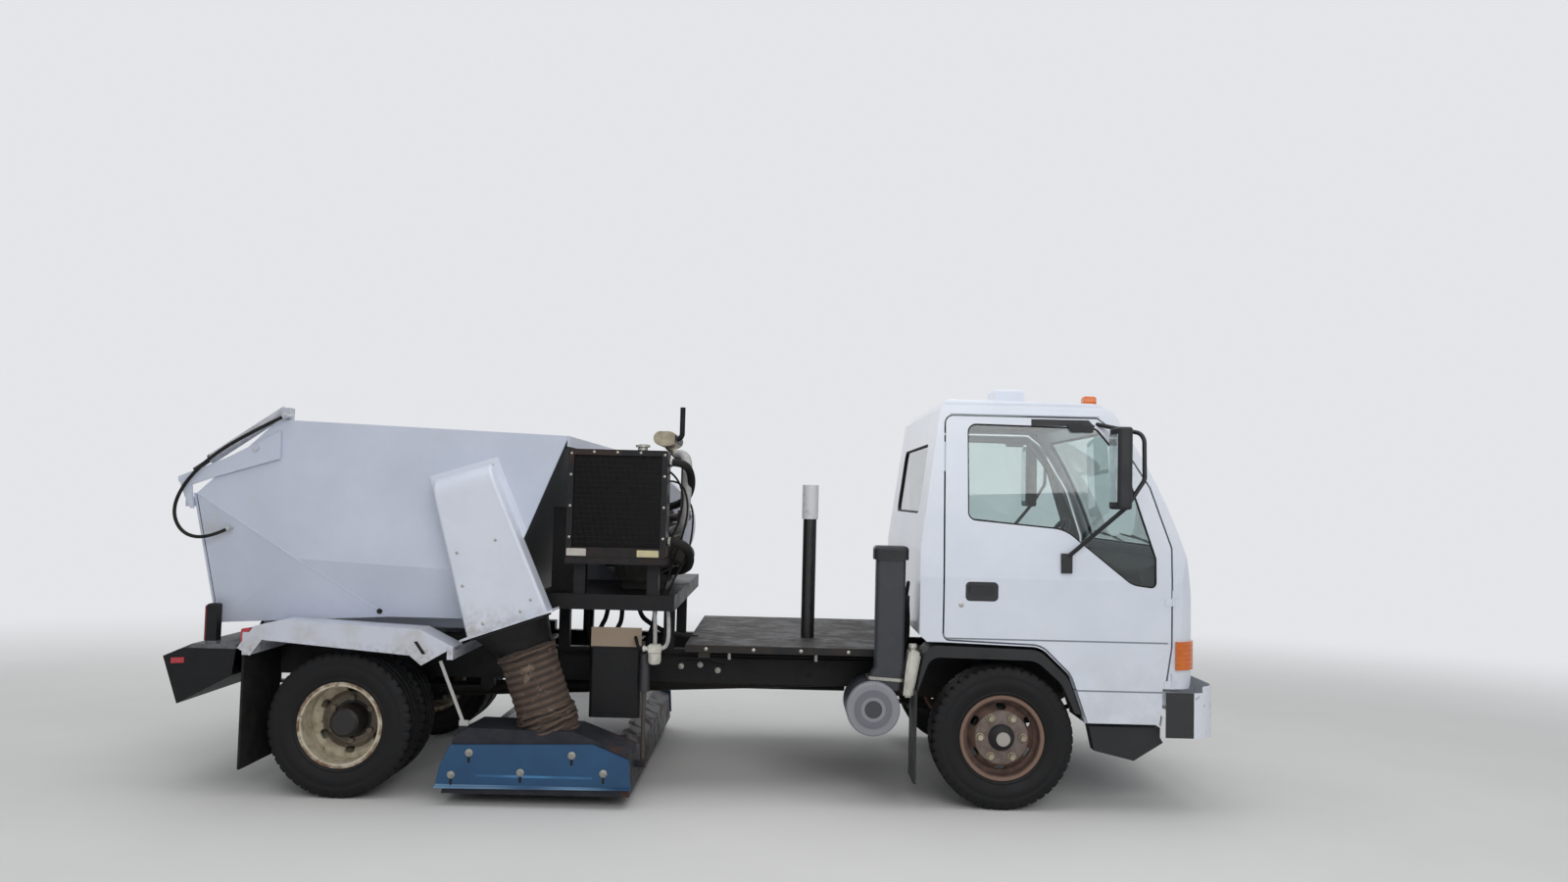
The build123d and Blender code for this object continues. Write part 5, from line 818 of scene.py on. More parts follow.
def run(name, routes, radius, finish, body):
    """Round wires, pipes or hoses along one or more routes, as smooth curves with closed ends."""
    curve = round_curve(name, "NURBS", routes, radius)
    curve.bevel_resolution = 3
    curve.use_fill_caps = True
    for spline in curve.splines:
        spline.order_u = 3
        spline.use_endpoint_u = True
    return hang(name, curve, finish, body)


def trim_strip(name, loops, radius, finish, body):
    """Rubber or cloth trim along closed loops of points."""
    curve = round_curve(name, "POLY", loops, radius)
    curve.bevel_resolution = 2
    for spline in curve.splines:
        spline.use_cyclic_u = True
    hang(name, curve, finish, body)


def slab(shape, corners, run_by, edge=0.002):
    """A plate from its corner points, run by a vector, with its edges rounded."""
    plate = bmesh.new()
    near_face = plate.faces.new([plate.verts.new(point) for point in corners])
    far_face = bmesh.ops.extrude_face_region(plate, geom=[near_face])["geom"]
    far_corners = [item for item in far_face if isinstance(item, bmesh.types.BMVert)]
    bmesh.ops.translate(plate, vec=run_by, verts=far_corners)
    bmesh.ops.recalc_face_normals(plate, faces=plate.faces)
    bmesh.ops.bevel(plate, geom=plate.edges[:], offset=edge, segments=2, affect="EDGES")
    mesh = bpy.data.meshes.new("plate")
    plate.to_mesh(mesh)
    plate.free()
    shape.from_mesh(mesh)
    bpy.data.meshes.remove(mesh)


def side_plate(shape, outline, y, thickness, edge=0.002):
    """A plate from its (x, z) outline in the side view, from one y over a thickness that may be negative."""
    slab(shape, [(x, y, z) for x, z in outline], (0, thickness, 0), edge)


def panel(shape, x_range, y_range, z_range, edge=0.002):
    """A plate or block with rounded edges between three pairs of faces."""
    (x0, x1), (y0, y1), (z0, z1) = x_range, y_range, z_range
    side_plate(shape, [(x0, z0), (x1, z0), (x1, z1), (x0, z1)], y0, y1 - y0, edge)


def join_rings(shape, ring, other):
    """Faces all round between two rings of as many points."""
    for step in range(len(ring)):
        after = (step + 1) % len(ring)
        shape.faces.new((ring[step], ring[after], other[after], other[step]))


def turned_form(shape, centre, axis, profile, sides):
    """A closed form turned about an axis from (radius, height) steps; both ends are capped."""
    turn = Vector(axis).to_track_quat("Z", "Y")
    angles = [2 * math.pi * step / sides for step in range(sides)]
    rings = []
    for radius, height in profile:
        points = [Vector((radius * math.cos(angle), radius * math.sin(angle), height)) for angle in angles]
        rings.append([shape.verts.new(Vector(centre) + turn @ point) for point in points])
    for low, high in zip(rings, rings[1:]):
        join_rings(shape, low, high)
    shape.faces.new(list(reversed(rings[0])))
    shape.faces.new(rings[-1])


def turned_piece(name, centre, axis, profile, sides, finish, body):
    """A piece that is one turned form."""
    piece(name, lambda shape: turned_form(shape, centre, axis, profile, sides), finish, body)


def head_pieces(name, points, axis, radius, height, finish, body, sides=6):
    """A piece of equal bolt or screw heads standing on their points along an axis, each on a thin washer."""
    washer = [(radius * 1.35, -0.001), (radius * 1.35, height * 0.2), (radius * 1.3, height * 0.25)]
    head = [(radius, height * 0.2), (radius, height * 0.85), (radius * 0.8, height)]

    def make(shape):
        for point in points:
            turned_form(shape, point, axis, washer, 16)
            turned_form(shape, point, axis, head, sides)

    piece(name, make, finish, body)


def rim_loops(node, direction, reach):
    """The edge loops round a node's faces that look along a direction, as ordered points."""
    mesh = NODES[node].data
    shape = bmesh.new()
    shape.from_mesh(mesh)
    bmesh.ops.remove_doubles(shape, verts=shape.verts, dist=1e-5)
    looking = Vector(direction).normalized()
    chosen = {face for face in shape.faces
              if face.normal.dot(looking) > 0.55 and reach[0] < face.calc_center_median().x < reach[1]}
    border = [edge for edge in shape.edges if sum(face in chosen for face in edge.link_faces) == 1]
    loops = []
    while border:
        edge = border.pop()
        start, current = edge.verts
        points = [start.co.copy(), current.co.copy()]
        while current != start:
            edge = next((other for other in border if current in other.verts), None)
            if edge is None:
                break
            border.remove(edge)
            current = edge.other_vert(current)
            points.append(current.co.copy())
        loops.append(points[:-1])
    shape.free()
    return [points for points in loops if len(points) > 3]


# The tailgate cylinder's hose, along the same points as in the part's source
GATE_HOSE_DIAMETER = 0.018
GATE_HOSE_ROUTE = [
    (-2.110, -1.045, 1.915), (-2.290, -1.045, 1.822), (-2.470, -1.045, 1.704), (-2.602, -1.045, 1.560),
    (-2.650, -1.045, 1.420), (-2.592, -1.045, 1.310), (-2.470, -1.042, 1.290), (-2.381, -1.020, 1.339),
]


def route_length(hose):
    """Length of a hose's centreline, measured on the finished curve."""
    curve = hose.data.copy()
    curve.bevel_depth = 0.0
    probe = bpy.data.objects.new("probe", curve)
    mesh = probe.to_mesh()
    length = 0.0
    for edge in mesh.edges:
        start, end = (mesh.vertices[index].co for index in edge.vertices)
        length += (start - end).length
    probe.to_mesh_clear()
    bpy.data.objects.remove(probe)
    bpy.data.curves.remove(curve)
    return length


def hopper_hose():
    """The hose that loops from the tailgate cylinder down to the hopper."""
    hose = run("hopper_hose", [GATE_HOSE_ROUTE], GATE_HOSE_DIAMETER / 2, "black_rubber", "hopper")
    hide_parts("gate_hose")
    route_length(hose)


# Tyres

TREAD_BARS = 46
BAR_STEPS = 6
BAR_CUT = 0.008
GROOVE_DEPTH = 0.009
BEAD_LAP = 0.004


def tyre_profile(radius, width, bead):
    """Half section of a truck tyre from the bead over the flank to mid tread, as (radius, offset, cut).

    The cut is how far the section is sunk between two tread bars."""
    floor = radius - GROOVE_DEPTH
    flank = [(bead, 0.72), (bead + 0.004, 0.80), (bead + 0.016, 0.86), (bead + 0.022, 0.84),
             (bead + 0.05, 0.955), (bead + 0.078, 0.99), (bead + 0.082, 0.975), (bead + 0.098, 0.98),
             (bead + 0.102, 0.99), (radius - 0.034, 0.955)]
    shoulder = [(radius - 0.026, 0.94), (radius - 0.012, 0.90), (radius - 0.002, 0.82), (radius, 0.62)]
    ribs = [(radius, 0.56), (floor, 0.54), (floor, 0.45), (radius, 0.43), (radius, 0.13), (floor, 0.11),
            (floor, 0.0)]
    section = []
    for points, cut in ((flank, 0.0), (shoulder, BAR_CUT), (ribs, 0.0)):
        section += [(out, width / 2 * share, cut) for out, share in points]
    return section


def turn_tyre(shape, centre, radius, width, bead):
    """A closed tyre about the Y axis with grooves round it and bars across its shoulders."""
    right = tyre_profile(radius, width, bead)
    left = [(out, -y, cut) for out, y, cut in reversed(right[:-1])]
    steps = TREAD_BARS * BAR_STEPS
    rings = []
    for step in range(steps):
        turn = 2 * math.pi * step / steps
        between_bars = step % BAR_STEPS == 0
        ring = []
        for out, y, cut in right + left:
            reach = out - cut if between_bars else out
            spot = centre + Vector((reach * math.sin(turn), y, reach * math.cos(turn)))
            ring.append(shape.verts.new(spot))
        rings.append(ring)
    for step, ring in enumerate(rings):
        after = rings[(step + 1) % steps]
        for index in range(len(ring)):
            other = (index + 1) % len(ring)
            shape.faces.new((ring[index], after[index], after[other], ring[other]))
    bmesh.ops.recalc_face_normals(shape, faces=shape.faces)


def tyres():
    """Treaded tyres in place of the solids' plain ones: one on each front wheel, a pair at each rear end."""
    rim_low, rim_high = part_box("front_wheel_right")
    bead = (rim_high.z - rim_low.z) / 2 - BEAD_LAP
    for side, _ in SIDES:
        low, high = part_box("front_tyre_" + side)
        radius = (high.z - low.z) / 2
        width = high.y - low.y
        middle = (low + high) / 2
        piece("front_tyre_tread_" + side, lambda shape: turn_tyre(shape, middle, radius, width, bead),
              "tyre_rubber", "front_wheel_" + side, ("front_tyre_" + side,))
        low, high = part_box("rear_tyres_" + side)
        pair = (low + high) / 2
        apart = Vector((0, (high.y - low.y - width) / 2, 0))

        def make_pair(shape):
            turn_tyre(shape, pair + apart, radius, width, bead)
            turn_tyre(shape, pair - apart, radius, width, bead)

        piece("rear_tyre_treads_" + side, make_pair, "tyre_rubber", "rear_wheels_" + side,
              ("rear_tyres_" + side,))


# Cab

def screen_x(z):
    """The windscreen's place along the truck at a height, on a curve through its foot, middle and top."""
    foot, middle, top = (1.301, 2.520), (1.660, 2.378), (1.985, 2.190)
    total = 0.0
    for one, other, third in ((foot, middle, top), (middle, foot, top), (top, foot, middle)):
        total += one[1] * (z - other[0]) * (z - third[0]) / ((one[0] - other[0]) * (one[0] - third[0]))
    return total


def on_screen(y, z, off, lift=0.0):
    """A point in front of the windscreen at a place across and a height."""
    return screen_x(z) + off, y, z + lift


def cab_seals():
    """Rubber round the windows of the doors, the windscreen and the rear window."""
    for side, sign in SIDES:
        loops = rim_loops("door_glass_" + side, (0, sign, 0), (0, 3))
        trim_strip("door_window_seal_" + side, loops, 0.008, "black_rubber", "door_" + side)
    loops = rim_loops("cab_glass", (1, 0, 0.6), (1.8, 3)) + rim_loops("cab_glass", (-1, 0, 0.1), (0, 1.6))
    trim_strip("cab_window_seals", loops, 0.012, "black_rubber", "cab")


def wipers():
    """Two wiper arms at rest along the windscreen's foot, each with a rubber blade."""
    arms, blades = [], []
    for foot_y, tip_y in ((-0.42, -0.02), (0.18, 0.60)):
        arms.append([on_screen(foot_y, 1.335, 0.004), on_screen(foot_y, 1.335, 0.030, 0.006),
                     on_screen((foot_y + tip_y) / 2, 1.37, 0.030), on_screen(tip_y, 1.395, 0.020)])
        blades.append([on_screen(foot_y + 0.12, 1.375, 0.012), on_screen(tip_y, 1.385, 0.014),
                       on_screen(tip_y + 0.20, 1.400, 0.012)])
    run("wiper_arms", arms, 0.006, "moulded_black", "cab")
    run("wiper_blades", blades, 0.005, "black_rubber", "cab")


DOOR_SKIN_Y = 0.950
GUARD_Z = (1.974, 2.008)


def door_trim():
    """Lock cylinders, mirror glass and the dark guard over each door window's front half."""
    for side, sign in SIDES:
        turned_piece("door_lock_" + side, (1.360, sign * (DOOR_SKIN_Y - 0.001), 1.041), (0, sign, 0),
                     [(0.013, 0), (0.013, 0.002), (0.011, 0.003), (0.006, 0.0032)], 20,
                     "zinc_plate", "door_" + side)

        def make_glass(shape):
            panel(shape, (2.0865, 2.0905), sorted((sign * 1.028, sign * 1.172)), (1.585, 1.925), 0.0015)

        def make_guard(shape):
            low_z, top_z = GUARD_Z
            low_y, top_y = (sign * (DOOR_SKIN_Y - CAB_LEAN * (z - CAB_BELT_Z)) for z in GUARD_Z)
            upper = [(1.72, low_y, low_z), (2.05, low_y, low_z), (2.02, top_y, top_z), (1.72, top_y, top_z)]
            slab(shape, upper, (0, sign * 0.004, 0), 0.001)
            side_plate(shape, [(1.93, low_z - 0.03), (2.04, low_z - 0.03), (2.05, low_z + 0.01),
                               (1.90, low_z + 0.01)], low_y, sign * 0.009)

        piece("mirror_glass_" + side, make_glass, "silvered_glass", "door_" + side)
        piece("window_guard_" + side, make_guard, "moulded_black", "door_" + side)


# Sweeping gear

RADIATOR_FACE_Y = -0.960
CORE_X = (-0.642, -0.190)
CORE_Z = (1.290, 1.763)
CORE_FRONT_Y, CORE_BACK_Y = -0.950, -0.9385
FIN_PITCH, FIN_HALF = 0.006, 0.0006
TUBE_FRONT_Y = -0.947
TUBE_ROWS, TUBE_HALF = 18, 0.0016


def radiator_core():
    """Upright fins, drawn 6 mm apart instead of 2 so that they show, crossed by flat tubes."""
    def make(shape):
        for index in range(int((CORE_X[1] - CORE_X[0]) / FIN_PITCH)):
            x = CORE_X[0] + (index + 0.5) * FIN_PITCH
            corners = ((x - FIN_HALF, CORE_BACK_Y), (x + FIN_HALF, CORE_BACK_Y),
                       (x + FIN_HALF, CORE_FRONT_Y), (x - FIN_HALF, CORE_FRONT_Y))
            foot, top = ([shape.verts.new((*corner, z)) for corner in corners] for z in CORE_Z)
            join_rings(shape, foot, top)
        for index in range(1, TUBE_ROWS):
            z = CORE_Z[0] + index * (CORE_Z[1] - CORE_Z[0]) / TUBE_ROWS
            panel(shape, CORE_X, (TUBE_FRONT_Y, CORE_BACK_Y), (z - TUBE_HALF, z + TUBE_HALF), 0.0008)

    piece("radiator_fins", make, "core_aluminium", "chassis")


def radiator_trim():
    """Painted pads on the radiator's foot, its filler cap and the screws round its case."""
    def make_pads(shape):
        pad_y = (RADIATOR_FACE_Y - 0.004, RADIATOR_FACE_Y + 0.001)
        panel(shape, (-0.667, -0.566), pad_y, (1.245, 1.283))
        panel(shape, (-0.306, -0.194), pad_y, (1.245, 1.280))

    piece("radiator_pads", make_pads, "pad_paint", "chassis")
    turned_piece("radiator_cap", (-0.30, -0.88, 1.792), (0, 0, 1),
                 [(0.026, 0), (0.026, 0.018), (0.038, 0.019), (0.038, 0.030), (0.030, 0.034), (0.010, 0.036)],
                 24, "zinc_plate", "chassis")
    points = [(x, RADIATOR_FACE_Y, z) for x in (-0.656, -0.175) for z in (1.34, 1.50, 1.66, 1.77)]
    points += [(x, RADIATOR_FACE_Y, 1.779) for x in (-0.54, -0.42, -0.30)]
    head_pieces("radiator_screws", points, (0, -1, 0), 0.005, 0.004, "zinc_plate", "chassis")


def coolant_hoses():
    """Upper and lower coolant hose between the radiator and the engine."""
    run("upper_coolant_hose", [[(-0.165, -0.880, 1.735), (-0.115, -0.880, 1.738), (-0.060, -0.850, 1.715),
                                (-0.050, -0.720, 1.640), (-0.075, -0.600, 1.560), (-0.140, -0.500, 1.515),
                                (-0.205, -0.470, 1.500), (-0.215, -0.468, 1.470)]],
        0.021, "black_rubber", "chassis")
    run("lower_coolant_hose", [[(-0.165, -0.885, 1.325), (-0.110, -0.885, 1.322), (-0.060, -0.850, 1.300),
                                (-0.045, -0.740, 1.230), (-0.070, -0.620, 1.170), (-0.150, -0.540, 1.150),
                                (-0.215, -0.500, 1.150)]],
        0.023, "black_rubber", "chassis")


def air_pipe():
    """Grey air pipe that bends out in front of the engine and down to it."""
    run("air_pipe", [[(-0.150, -0.590, 1.790), (-0.105, -0.640, 1.790), (-0.080, -0.680, 1.740),
                      (-0.078, -0.700, 1.620), (-0.085, -0.700, 1.500), (-0.100, -0.660, 1.400),
                      (-0.150, -0.560, 1.370), (-0.210, -0.500, 1.360)]],
        0.026, "grey_pipe_plastic", "chassis")


def bed_hoses():
    """Hoses that hang from under the engine bed to the tank below and to the rails."""
    run("bed_hoses", [
        [(-0.500, -0.560, 0.966), (-0.505, -0.565, 0.900), (-0.530, -0.600, 0.850), (-0.560, -0.640, 0.770)],
        [(-0.420, -0.600, 0.966), (-0.415, -0.610, 0.890), (-0.440, -0.640, 0.840), (-0.470, -0.660, 0.770)],
        [(-0.250, -0.520, 0.966), (-0.250, -0.510, 0.880), (-0.280, -0.470, 0.800), (-0.300, -0.440, 0.740),
         (-0.300, -0.436, 0.700)],
        [(-0.350, -0.460, 0.966), (-0.340, -0.450, 0.900), (-0.290, -0.400, 0.850), (-0.180, -0.380, 0.790),
         (-0.020, -0.380, 0.775)],
        [(-0.620, -0.500, 0.966), (-0.630, -0.500, 0.880), (-0.610, -0.460, 0.800), (-0.600, -0.436, 0.700)],
    ], 0.013, "black_rubber", "chassis")


def engine_wiring():
    """Wiring that droops from the radiator's case and the engine down towards the engine bed."""
    run("engine_wiring", [
        [(-0.165, -0.820, 1.690), (-0.120, -0.830, 1.660), (-0.085, -0.800, 1.560), (-0.110, -0.760, 1.430),
         (-0.150, -0.740, 1.340), (-0.210, -0.730, 1.270)],
        [(-0.165, -0.760, 1.640), (-0.100, -0.770, 1.640), (-0.060, -0.780, 1.520), (-0.080, -0.770, 1.380),
         (-0.170, -0.720, 1.120), (-0.190, -0.720, 1.046)],
        [(-0.180, -0.500, 1.500), (-0.080, -0.560, 1.560), (-0.040, -0.640, 1.450), (-0.060, -0.700, 1.250),
         (-0.140, -0.740, 1.110), (-0.160, -0.740, 1.046)],
    ], 0.0055, "black_rubber", "chassis")


def hose_clamps():
    """Screw clamps on the coolant hoses at the radiator, each with its screw housing."""
    def make(shape):
        for (x, y, z), radius in (((-0.150, -0.880, 1.735), 0.0225), ((-0.148, -0.885, 1.324), 0.0245)):
            band = [(radius - 0.004, -0.0062), (radius + 0.0012, -0.006), (radius + 0.0016, 0.0),
                    (radius + 0.0012, 0.006), (radius - 0.004, 0.0062)]
            turned_form(shape, (x, y, z), (1, 0, 0), band, 28)
            face_y = y - radius
            panel(shape, (x - 0.006, x + 0.006), (face_y - 0.009, face_y + 0.002), (z - 0.010, z + 0.010))

    piece("hose_clamps", make, "zinc_plate", "chassis")


def control_valve():
    """White valve body with its bowl, hung from the engine bed by its feed pipe."""
    def make(shape):
        panel(shape, (-0.245, -0.178), (-0.868, -0.812), (0.742, 0.790), 0.006)
        turned_form(shape, (-0.212, -0.840, 0.744), (0, 0, -1),
                    [(0.030, 0), (0.034, 0.004), (0.034, 0.040), (0.028, 0.054), (0.012, 0.060)], 28)
        turned_form(shape, (-0.245, -0.840, 0.766), (-1, 0, 0),
                    [(0.012, 0), (0.012, 0.016), (0.016, 0.018), (0.016, 0.028), (0.010, 0.030)], 20)

    piece("valve_body", make, "white_polyethylene", "chassis")
    run("valve_pipes", [
        [(-0.212, -0.840, 0.788), (-0.212, -0.840, 0.900), (-0.220, -0.838, 0.966)],
        [(-0.182, -0.840, 0.768), (-0.150, -0.836, 0.772), (-0.140, -0.830, 0.850), (-0.150, -0.825, 0.966)],
    ], 0.011, "grey_pipe_plastic", "chassis")
    run("valve_hoses", [
        [(-0.274, -0.840, 0.766), (-0.300, -0.836, 0.770), (-0.312, -0.800, 0.800), (-0.330, -0.720, 0.820),
         (-0.340, -0.660, 0.790), (-0.345, -0.640, 0.752)],
    ], 0.009, "black_rubber", "chassis")


def fold_loop(offset, swell_by, wobble, seed):
    """One uneven fold of the hose's fabric: a closed loop round the hose at a distance down its axis."""
    across = HOSE_AXIS.orthogonal().normalized()
    third = HOSE_AXIS.cross(across)
    points = []
    for step in range(60):
        turn = 2 * math.pi * step / 60
        waves = math.sin(2 * turn + seed) + 0.6 * math.sin(5 * turn + 2 * seed)
        waves += 0.3 * math.sin(11 * turn + seed)
        radius = HOSE_OUTSIDE + swell_by + 0.0025 * math.sin(7 * turn + 3 * seed)
        outward = across * math.cos(turn) + third * math.sin(turn)
        points.append(HOSE_TOP + HOSE_AXIS * (offset + wobble * waves) + outward * radius)
    return points


def hose_folds():
    """Fabric turned back under the cone, and folds pushed together where the hose enters the head."""
    cuff = [fold_loop(0.004, -0.001, 0.003, 0.4), fold_loop(0.022, 0.001, 0.004, 1.7),
            fold_loop(0.040, -0.002, 0.006, 2.9)]
    folds = [fold_loop(0.330 + 0.021 * index, 0.002 * (index % 2), 0.007, 0.8 * index + 0.3)
             for index in range(5)]
    trim_strip("hose_cuff", cuff, 0.009, "hose_fabric", "chassis")
    trim_strip("hose_foot_folds", folds, 0.010, "hose_fabric", "pickup_head")


PLATE_OUTLINE = [(-1.262, 0.087), (-1.240, 0.196), (-1.189, 0.301), (-0.480, 0.318), (-0.296, 0.244),
                 (-0.287, 0.096)]
PLATE_INNER_Y, PLATE_OUTER_Y = 1.076, 1.086
LIP_REAR, LIP_FRONT = (-1.262, 0.0875), (-0.287, 0.0965)
LIP_DEPTH, LIP_HEIGHT = 0.012, 0.009
PLATE_BOLTS = [(-1.094, 0.263), (-1.180, 0.153), (-0.836, 0.171), (-0.583, 0.261), (-0.424, 0.176)]
SLOT_HALF_WIDTH, SLOT_DROP = 0.0065, 0.044
# washer, nut and bolt end, each a turned profile with its number of sides
PLATE_FASTENER = (
    ([(0.019, 0), (0.019, 0.003), (0.0175, 0.0035)], 24),
    ([(0.0145, 0.003), (0.0145, 0.012), (0.012, 0.0145)], 6),
    ([(0.0075, 0.012), (0.0075, 0.021), (0.006, 0.023)], 16),
)


def slot_outline(x, z):
    """Outline of an upright slot with round ends that hangs down from a bolt."""
    outline = []
    for middle_z, start in ((z - SLOT_HALF_WIDTH, 0), (z - SLOT_DROP, 180)):
        for step in range(9):
            turn = math.radians(start + 22.5 * step)
            outline.append((x + SLOT_HALF_WIDTH * math.cos(turn),
                            middle_z + SLOT_HALF_WIDTH * math.sin(turn)))
    return outline


def end_plates():
    """Blue plates at both ends of the head, bolted through upright slots so that they can be set lower; the
    slots are thin black sheets, painted shade for their openings.
    """
    def make_plates(shape):
        (rear_x, rear_z), (front_x, front_z) = LIP_REAR, LIP_FRONT
        for _, sign in SIDES:
            thickness = sign * (PLATE_OUTER_Y - PLATE_INNER_Y)
            side_plate(shape, PLATE_OUTLINE, sign * PLATE_INNER_Y, thickness, 0.0025)
            face_y, lip_y = sign * PLATE_OUTER_Y, sign * (PLATE_OUTER_Y + LIP_DEPTH)
            slab(shape, [(rear_x, face_y, rear_z), (front_x, face_y, front_z), (front_x, lip_y, front_z),
                         (rear_x, lip_y, rear_z)], (0, 0, LIP_HEIGHT))

    # painted shade: a thin black sheet in the outline of each slot stands for its dark opening
    def make_slot_shade(shape):
        for _, sign in SIDES:
            for x, z in PLATE_BOLTS:
                side_plate(shape, slot_outline(x, z), sign * (PLATE_OUTER_Y - 0.0004), sign * 0.0012, 0.0003)

    def make_bolts(shape):
        for _, sign in SIDES:
            for x, z in PLATE_BOLTS:
                for profile, sides in PLATE_FASTENER:
                    turned_form(shape, (x, sign * PLATE_OUTER_Y, z), (0, sign, 0), profile, sides)

    piece("end_plates", make_plates, "blue_enamel", "pickup_head", ("head_plates",))
    piece("end_plate_slot_shade", make_slot_shade, "black_rubber", "pickup_head")
    piece("end_plate_bolts", make_bolts, "zinc_plate", "pickup_head")


DUCT_FACE_Y = 1.130
DUCT_SCREWS = [(-0.990, 1.322), (-1.179, 1.254), (-1.038, 0.906), (-0.854, 0.972), (-0.805, 1.030),
               (-1.145, 1.090)]


def hopper_trim():
    """Duct screws, the plug in the hopper's side, and weld beads along the folds of both sides."""
    head_pieces("duct_screws", [(x, -DUCT_FACE_Y, z) for x, z in DUCT_SCREWS], (0, -1, 0), 0.006, 0.004,
                "zinc_plate", "hopper")
    turned_piece("hopper_plug", (-1.625, -0.9095, 0.934), (0, -0.94, -0.35),
                 [(0.014, -0.002), (0.014, 0.006), (0.010, 0.009), (0.004, 0.009)], 20,
                 "black_rubber", "hopper")
    beads = []
    for _, sign in SIDES:
        wide, narrow = sign * 1.000, sign * 0.900
        beads.append([(-2.545, wide, 1.517), (-2.290, wide, 1.358), (-2.034, wide, 1.198)])
        beads.append([(-2.030, wide, 1.196), (-1.805, sign * 0.950, 1.051), (-1.582, narrow, 0.907)])
        beads.append([(-0.670, wide, 1.853), (-0.810, wide, 1.502), (-0.951, wide, 1.150)])
    run("weld_beads", beads, 0.0028, "hopper_paint", "hopper")


# Chassis

# fender slot outline, drawn as a black sheet of painted shade
FENDER_SLOT_SHADE = [(-1.392, 0.803), (-1.374, 0.806), (-1.330, 0.744), (-1.348, 0.741)]
FENDER_LENS = [(-2.262, 0.768), (-2.216, 0.830), (-2.216, 0.852), (-2.262, 0.846)]
BUMPER_REFLECTOR = [(-2.640, 0.656), (-2.572, 0.660), (-2.572, 0.688), (-2.640, 0.684)]


def fender_trim():
    """Slots in the fenders' front ends as thin black sheets of painted shade, red lenses at their rear ends,
    and reflectors on the rear bumper.
    """
    for side, sign in SIDES:
        # painted shade: a thin black sheet in each fender slot's outline stands for its dark opening
        for name, outline, y, thickness, edge, finish, slot in (
                ("fender_slot_shade_", FENDER_SLOT_SHADE, 1.0795, 0.0014, 0.0005, "black_rubber", "rubber"),
                ("fender_lens_", FENDER_LENS, 1.074, -0.050, 0.004, "tail_reflector", "red_lens"),
                ("bumper_reflector_", BUMPER_REFLECTOR, 1.0, 0.005, 0.0015, "tail_reflector", "red_lens")):
            piece(name + side, lambda shape: side_plate(shape, outline, sign * y, sign * thickness, edge),
                  finish, "chassis")


NUT_CIRCLE = 0.111
NUT_FACE_Y = 0.890


def wheel_nuts():
    """Dull nuts of the front wheels, drawn over the solids' own, each on a washer."""
    for side, sign in SIDES:
        points = []
        for turn in range(30, 390, 60):
            spoke = math.radians(turn)
            points.append((FRONT_HUB[0] + NUT_CIRCLE * math.sin(spoke), sign * NUT_FACE_Y,
                           FRONT_HUB[1] + NUT_CIRCLE * math.cos(spoke)))
        head_pieces("wheel_nuts_" + side, points, (0, sign, 0), 0.0168, 0.0275, "aluminised_steel",
                    "front_wheel_" + side, 12)


RAIL_FACE_Y = 0.425
RAIL_BOLTS_X = (-2.535, -0.945, -0.435, 0.040, 0.605, 0.990, 2.345)
RAIL_BOLTS_Z = (0.585, 0.660)
PIPES_Z = (0.690, 0.674)
# places along the rail with the small rise of the pipes there
PIPE_RISE = ((-0.900, 0.0), (-0.500, 0.0), (-0.100, 0.003), (0.250, -0.004), (0.700, 0.0), (1.200, 0.002))
CLIPS_X = (-0.80, -0.30, 0.16, 0.64, 1.08)
BRACKET = [(-0.140, 0.650), (0.020, 0.656), (0.138, 0.630), (0.120, 0.572), (-0.020, 0.565), (-0.130, 0.590)]
BRACKET_BOLTS = [(-0.105, 0.622), (0.098, 0.604), (0.000, 0.632)]


def rail_trim():
    """Bolt heads along the rails, and a pair of pipes clipped to each rail."""
    for side, sign in SIDES:
        points = [(x, sign * RAIL_FACE_Y, z) for x in RAIL_BOLTS_X for z in RAIL_BOLTS_Z]
        head_pieces("rail_bolts_" + side, points, (0, sign, 0), 0.011, 0.011, "chassis_paint", "chassis")
        pipe_y = sign * (RAIL_FACE_Y + 0.008)
        routes = [[(x, pipe_y, z + rise) for x, rise in PIPE_RISE] for z in PIPES_Z]
        run("rail_pipes_" + side, routes, 0.0055, "black_rubber", "chassis")

        def make_clips(shape):
            clip_y = sorted((sign * (RAIL_FACE_Y - 0.001), sign * (RAIL_FACE_Y + 0.016)))
            for x in CLIPS_X:
                panel(shape, (x - 0.008, x + 0.008), clip_y, (0.664, 0.700))

        piece("pipe_clips_" + side, make_clips, "zinc_plate", "chassis")


def rail_bracket():
    """Bolted bracket plate on the kerb side rail."""
    piece("rail_bracket", lambda shape: side_plate(shape, BRACKET, -0.424, -0.010), "rear_bumper_paint",
          "chassis")
    head_pieces("bracket_bolts", [(x, -0.434, z) for x, z in BRACKET_BOLTS], (0, -1, 0), 0.012, 0.010,
                "zinc_plate", "chassis")


def fuel_cap():
    """Black screw cap of the fuel tank."""
    turned_piece("fuel_cap", (0.300, 0.848, 0.620), (0, 1, 0),
                 [(0.040, 0), (0.040, 0.012), (0.046, 0.014), (0.046, 0.030), (0.040, 0.034)], 28,
                 "moulded_black", "chassis")


def deck_bolts():
    """Small bolt heads along both edges of the deck."""
    for side, sign in SIDES:
        points = [(x, sign * 0.770, 0.762) for x in (0.05, 0.30, 0.55, 0.80, 1.03)]
        head_pieces("deck_bolts_" + side, points, (0, sign, 0), 0.007, 0.005, "zinc_plate", "chassis")


